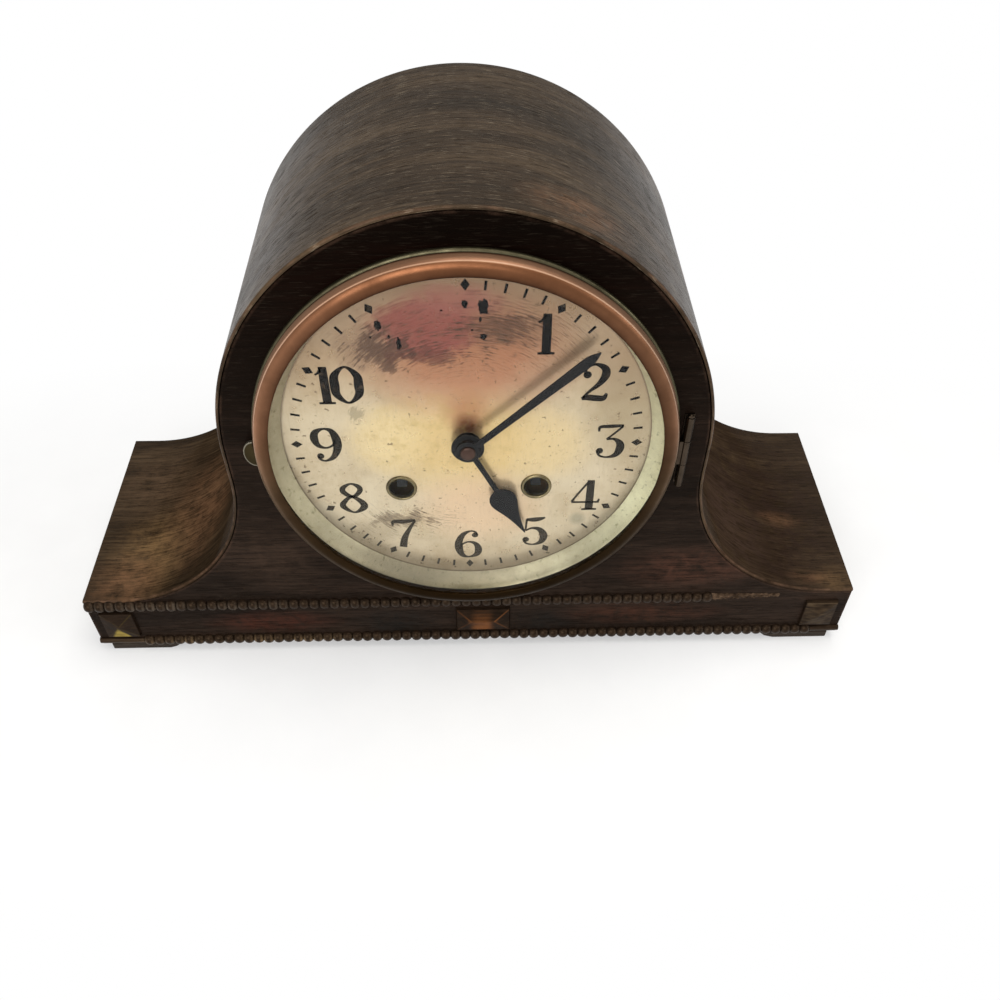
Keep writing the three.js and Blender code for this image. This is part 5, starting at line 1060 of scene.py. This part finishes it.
def build_dial_rings():
    foot = DIAL_DEPTH - SEAT_GAP
    shape = lathe([
        (SIGHT_RADIUS, foot), (73.0, 3.75), (74.2, 2.5), (75.6, 1.05), (76.9, -0.45), (77.5, -1.25),
        (REFLECTOR_RADIUS, -1.6), (REFLECTOR_RADIUS, -0.5), (73.6, foot),
    ])
    add_piece("reflector", shape, reflector_metal, "case", ["reflector_ring"], 50)
    shape = lathe([
        (78.2, -1.5), (78.5, -1.6), (81.6, -1.6), (82.3, -1.45), (82.7, -1.05), (82.8, -0.5), (82.8, 0.0),
        (79.2, 0.0), (79.2, 7.0), (78.2, 7.0),
    ])
    add_piece("flange", shape, olive_brass, "case", ["dial_flange"], 50)
    eyelet = [
        (5.0, 6.0), (5.0, 4.05), (5.12, 3.75), (5.35, 3.55), (5.65, 3.5), (5.95, 3.6), (6.2, 3.85),
        (6.38, 4.15), (6.4, foot), (5.6, foot), (5.6, 6.0),
    ]
    for side, x in (("left", -WINDING_X), ("right", WINDING_X)):
        shape = lathe(eyelet, (x, WINDING_Z), segments=72)
        add_piece("eyelet_" + side, shape, old_brass, "case", ["ferrule_" + side], 60)


# Bezel section: radius, depth, polish at the top and at the bottom, and painted highlight. The polish is
# rubbed copper and painted light, far brighter at the top; the painted highlight is a pale band on the outer
# wall and a pale line on the crest
BEZEL_SECTION = [
    (BEZEL_RADIUS, -1.9, 0.0, 0.0, 0.0), (BEZEL_RADIUS, -2.4, 0.4, 0.2, 0.2),
    (BEZEL_RADIUS, -3.2, 0.9, 0.6, 0.5), (81.94, -4.4, 1.0, 0.85, 0.45),
    (81.72, -5.25, 1.0, 1.0, 0.35), (81.53, -5.63, 1.0, 1.0, 0.25),
    (81.3, -6.0, 1.0, 1.0, 1.0), (81.05, -6.31, 1.0, 0.96, 0.0), (80.75, -6.6, 1.0, 0.9, 0.0),
    (80.1, -7.05, 1.0, 0.5, 0.0), (79.4, -7.35, 0.92, 0.2, 0.0), (78.7, -7.47, 0.82, 0.05, 0.0),
    (78.0, -7.45, 0.7, 0.0, 0.0), (77.3, -7.32, 0.55, 0.0, 0.0), (76.7, -7.14, 0.35, 0.0, 0.0),
    (76.2, -6.98, 0.12, 0.0, 0.0), (75.92, -6.86, 0.0, 0.0, 0.0), (75.8, -6.74, 0.0, 0.0, 0.0),
    (75.8, -6.62, 0.0, 0.0, 0.0), (78.0, -6.6, 0.0, 0.0, 0.0), (78.0, -1.9, 0.0, 0.0, 0.0),
]


# Bezel with its domed glass, on the hinge
def build_bezel():
    wear, crest = [], []
    for radius, depth, top, bottom, pale in BEZEL_SECTION:
        for k in range(RING_SEGMENTS):
            # Polish and painted highlight grow toward the top and fade toward the bottom: painted light and
            # shade
            height = 0.5 + 0.5 * math.cos(2 * math.pi * k / RING_SEGMENTS)
            wear.append(bottom + (top - bottom) * height ** 1.8)
            crest.append(pale * height)
    shape = lathe([step[:2] for step in BEZEL_SECTION])
    values = {"wear": wear, "crest": crest}
    add_piece("bezel_rim", shape, bezel_metal, "bezel", ["bezel_ring"], 50, values)

    def dome(radius, depth):
        shares = [k / DOME_STEPS for k in range(DOME_STEPS + 1)]
        return [(radius * share, depth - GLASS_RISE * (1 - share ** 2)) for share in shares]

    glass_back = GLASS_FRONT + GLASS_THICKNESS
    shape = lathe([
        *dome(GLASS_RADIUS, GLASS_FRONT),
        (GLASS_SEAT_RADIUS, GLASS_FRONT + SEAT_GAP), (GLASS_SEAT_RADIUS, glass_back),
        *reversed(dome(GLASS_RADIUS - GLASS_THICKNESS, glass_back)),
    ], loop=False)
    add_piece("glass_dome", shape, clear_glass, "bezel", ["bezel_glass"], 60)


# Hands: flat blued blades with a soft bevel, given by distances from the centre and half widths there
def blade(widths, angle, front, hub, hub_hole):
    half = math.asin(min(widths[0][1] / hub, 1))
    outline = [(half_width, r) for r, half_width in widths]
    outline += [(-half_width, r) for r, half_width in reversed(widths) if half_width > 0]
    arc = [-half + (2 * half - 2 * math.pi) * k / HUB_STEPS for k in range(1, HUB_STEPS)]
    outline += [(hub * math.sin(t), hub * math.cos(t)) for t in arc]
    ring = [turned(x, z, angle) for x, z in outline]
    hole = circle(0, 0, hub_hole, sides=40)
    fill = tessellate_polygon([[Vector((x, 0, z)) for x, z in edge] for edge in (ring, hole)])
    depths = (front, front + HAND_THICKNESS)
    parts = [
        ([(x, depth, DIAL_Z + z) for x, z in ring + hole], [tuple(t) for t in fill]) for depth in depths
    ]
    for edge in (ring, hole):
        parts.append(skin([[(x, depth, DIAL_Z + z) for x, z in edge] for depth in depths]))
    return merged(*parts)


SPADE = [
    (5.8, 1.25), (14, 1.05), (24.6, 1.05), (25.2, 1.9), (26.0, 3.4), (27.3, 4.7), (29.0, 5.5), (31.0, 5.75),
    (33.2, 5.3), (35.8, 4.3), (38.6, 3.2), (41.6, 2.25), (45.0, 1.4), (48.4, 0.75), (51.3, 0.2),
]
POINTER = [(4.4, 1.25), (20, 1.42), (40, 1.72), (57, 2.05), (60.4, 2.0), (62.6, 1.35), (65.4, 0.12)]
NUT = [
    (0.0, -3.05), (1.2, -3.05), (1.5, -2.9), (2.4, -2.85), (2.85, -2.6), (3.05, -2.2), (3.05, -1.55),
    (0.0, -1.55),
]


def build_hands():
    shape = blade(SPADE, HOUR_ANGLE, front=0.9, hub=6.5, hub_hole=4.3)
    soften(add_piece("spade_hand", shape, blued, "hour", ["hour_hand"]), HAND_EDGE)
    shape = blade(POINTER, MINUTE_ANGLE, front=-1.5, hub=4.8, hub_hole=2.5)
    soften(add_piece("pointer_hand", shape, blued, "minute", ["minute_hand"]), HAND_EDGE)
    shape = lathe(NUT, segments=64, loop=False)
    add_piece("centre_nut", shape, nut_metal, "minute", ["hand_nut"], 40)


# Coil gong: a spiral wire whose last stretch runs in to the block
def gong_path():
    points = []
    for step in range(round(GONG_TURNS * GONG_STEPS) + 1):
        turns = step / GONG_STEPS
        points.append((GONG_RADIUS - GONG_PITCH * max(turns - 0.25, 0.0), GONG_START + 2 * math.pi * turns))
    radius, angle = points[-1]
    for step in range(1, GONG_END_STEPS + 1):
        share = step / GONG_END_STEPS
        inward = share * share * (3 - 2 * share)
        points.append((radius + (GONG_INNER_RADIUS - radius) * inward, angle + 0.45 * share))
    return [(GONG_SPOT[0] + r * math.cos(a), GONG_SPOT[1] + r * math.sin(a)) for r, a in points]


def build_gong():
    path = gong_path()
    wire = circle(0, 0, WIRE_RADIUS, WIRE_SIDES)
    rings = []
    for i, (x, z) in enumerate(path):
        dx, dz = heading(path, i)
        rings.append([(x + dz * out, GONG_DEPTH + back, z - dx * out) for out, back in wire])
    verts, faces = skin(rings)
    faces += [tuple(end * WIRE_SIDES + k for k in range(WIRE_SIDES)) for end in (0, len(path) - 1)]
    add_piece("gong_spiral", (verts, faces), gong_metal, "case", ["gong_coil"], 60)


# Pendulum bob as a lens, and the door's turned knob by radii and distances from the back
KNOB = [
    (0.0, 0.0), (3.3, 0.0), (3.2, 0.8), (2.85, 1.6), (2.7, 2.6), (3.1, 3.6), (4.3, 4.4), (5.5, 5.1),
    (6.0, 5.9), (5.95, 6.7), (5.5, 7.5), (4.5, 8.2), (3.0, 8.7), (1.4, 8.95), (0.0, 9.0),
]


def build_turned():
    turns = [math.pi / 2 * k / 16 for k in range(16)]
    half = [(BOB_RADIUS * math.sin(t), BOB_BULGE * math.cos(t) ** 1.3) for t in turns]
    half.append((BOB_RADIUS - 0.05, 0.35))
    lens = [(r, BOB_DEPTH - rise) for r, rise in half]
    lens += [(BOB_RADIUS, BOB_DEPTH)]
    lens += [(r, BOB_DEPTH + rise) for r, rise in reversed(half)]
    shape = lathe(lens, (0.0, BOB_Z), segments=96, loop=False)
    add_piece("bob_lens", shape, brass, "pendulum", ["pendulum_bob"], 50)
    shape = lathe([(r, CASE_DEPTH + out) for r, out in KNOB], KNOB_SPOT, segments=64, loop=False)
    add_piece("knob_turned", shape, old_brass, "door", ["door_knob"], 40)


# Solids behind and inside the case keep their own shape and get softened edges
def dress_cad_nodes():
    by_slot = {"oak": oak_plain, "ply": oak_ply, "brass": brass, "steel": steel, "iron": iron}
    by_name = {
        "back_door": oak_door, "plinth_base": oak_plain, "thumb_tab": tab_brass, "bezel_hinge": hinge_bronze,
        "leaf": old_brass, "winding_arbor": dark_steel, "hour_wheel": dark_bronze,
        "cannon_pinion": dark_bronze,
    }
    for row in frame["record"]["subparts"]:
        node = frame["nodes"][row["node"]]
        if node.hide_render:
            continue
        named = [material for part, material in by_name.items() if part in row["node"]]
        node.data.materials.clear()
        node.data.materials.append(named[0] if named else by_slot[row["material_slot"]])
        weld = node.modifiers.new("weld", "WELD")
        weld.merge_threshold = 1e-6
        soften(node, WOOD_EDGE if row["material_slot"] in ("oak", "ply") else METAL_EDGE)


# Room: pale floor, soft lamps and the photograph's camera. Away from the clock the floor looks plain white.
def build_floor():
    s = Shader("pale_floor")
    spot = s.coords()
    grain = s.noise(spot, 30, 4, 0.5)
    s.coat(s.ramp(grain, (0.3, (0.84, 0.84, 0.845)), (0.7, (0.88, 0.88, 0.885))), 0.7)
    glow = s.node("ShaderNodeEmission", {"Color": (1, 1, 1), "Strength": 1.0})
    path = s.node("ShaderNodeLightPath", {})
    seen = s.math("MAXIMUM", path.outputs["Is Camera Ray"], path.outputs["Is Glossy Ray"])
    seen = s.math("MAXIMUM", seen, path.outputs["Is Transmission Ray"])
    fade = s.ramp(s.length(s.scaled(spot, (0.36, 1, 1))), (0.06, 0.25), (0.2, 1.0))
    shown = s.times(seen, fade)
    blend = s.node("ShaderNodeMixShader", {0: shown, 1: s.surface.outputs[0], 2: glow.outputs[0]})
    s.put(s.tree.nodes["Material Output"].inputs["Surface"], blend.outputs[0])
    mesh = bpy.data.meshes.new("floor")
    mesh.from_pydata([(-4, -4, 0), (4, -4, 0), (4, 4, 0), (-4, 4, 0)], [], [(0, 1, 2, 3)])
    mesh.materials.append(s.material)
    floor = add_object("floor", mesh)


def build_world():
    world = bpy.data.worlds.new("studio")
    bpy.context.scene.world = world
    s = Shader("studio", world)
    light = s.tree.nodes["Background"]
    s.put(light.inputs["Color"], (1.0, 0.985, 0.94))
    s.put(light.inputs["Strength"], 0.42)
    white = s.node("ShaderNodeBackground", {"Color": (1.0, 1.0, 1.0), "Strength": 1.0})
    path = s.node("ShaderNodeLightPath", {})
    seen = s.math("MAXIMUM", path.outputs["Is Camera Ray"], path.outputs["Is Transmission Ray"])
    blend = s.node("ShaderNodeMixShader", {0: seen, 1: light.outputs[0], 2: white.outputs[0]})
    s.put(s.tree.nodes["World Output"].inputs["Surface"], blend.outputs[0])


LAMP_AIM = (0, 0, 0.1)


def area_lamp(name, spot, size, power, tint=(1, 1, 1)):
    lamp = bpy.data.lights.new(name, "AREA")
    lamp.shape = "RECTANGLE"
    lamp.size, lamp.size_y = size
    lamp.energy = power
    lamp.color = tint
    holder = add_object(name, lamp)
    holder.location = spot
    holder.rotation_euler = (Vector(LAMP_AIM) - Vector(spot)).to_track_quat("-Z", "Y").to_euler()


def build_lamps():
    area_lamp("window_front", (-0.5, -1.5, 1.0), size=(1.2, 0.9), power=22)
    area_lamp("window_top", (0.3, 0.0, 1.6), size=(1.4, 1.0), power=14, tint=(1.0, 0.985, 0.95))
    area_lamp("side_fill", (1.5, -0.6, 0.8), size=(0.8, 0.8), power=6)


# Camera fitted to the photograph: angles in radians, place in metres, focal length and centre in pixels
CAMERA_PITCH = 0.89748
CAMERA_TURN = 0.04164
CAMERA_ROLL = 0.0141
CAMERA_SPOT = (0.003474, -0.350121, 0.355907)
CAMERA_FOCAL = 942.868
PICTURE_SIDE = 1000
PICTURE_CENTRE = (505.05, 660.0)
SENSOR_WIDTH = 36


def build_camera():
    data = bpy.data.cameras.new("photo_view")
    data.sensor_width = SENSOR_WIDTH
    data.lens = CAMERA_FOCAL * SENSOR_WIDTH / PICTURE_SIDE
    data.shift_x = (PICTURE_SIDE / 2 - PICTURE_CENTRE[0]) / PICTURE_SIDE
    data.shift_y = (PICTURE_CENTRE[1] - PICTURE_SIDE / 2) / PICTURE_SIDE
    data.clip_start = 0.01
    flat = math.cos(CAMERA_PITCH)
    ahead = Vector((math.sin(CAMERA_TURN) * flat, math.cos(CAMERA_TURN) * flat, -math.sin(CAMERA_PITCH)))
    level = Vector((math.cos(CAMERA_TURN), -math.sin(CAMERA_TURN), 0))
    upward = level.cross(ahead)
    right = math.cos(CAMERA_ROLL) * level + math.sin(CAMERA_ROLL) * upward
    top = math.cos(CAMERA_ROLL) * upward - math.sin(CAMERA_ROLL) * level
    holder = add_object("photo_view", data)
    turn = Matrix((right, top, -ahead)).transposed().to_4x4()
    holder.matrix_world = Matrix.Translation(CAMERA_SPOT) @ turn
    bpy.context.scene.camera = holder


build_wrap()
build_front()
build_beads()
build_sliver()
build_bosses()
build_dial()
build_dial_rings()
build_numerals()
build_flakes()
build_minute_track()
build_bezel()
build_hands()
build_gong()
build_turned()
dress_cad_nodes()
build_floor()
build_world()
build_lamps()
build_camera()
bpy.context.scene.view_settings.view_transform = "Standard"
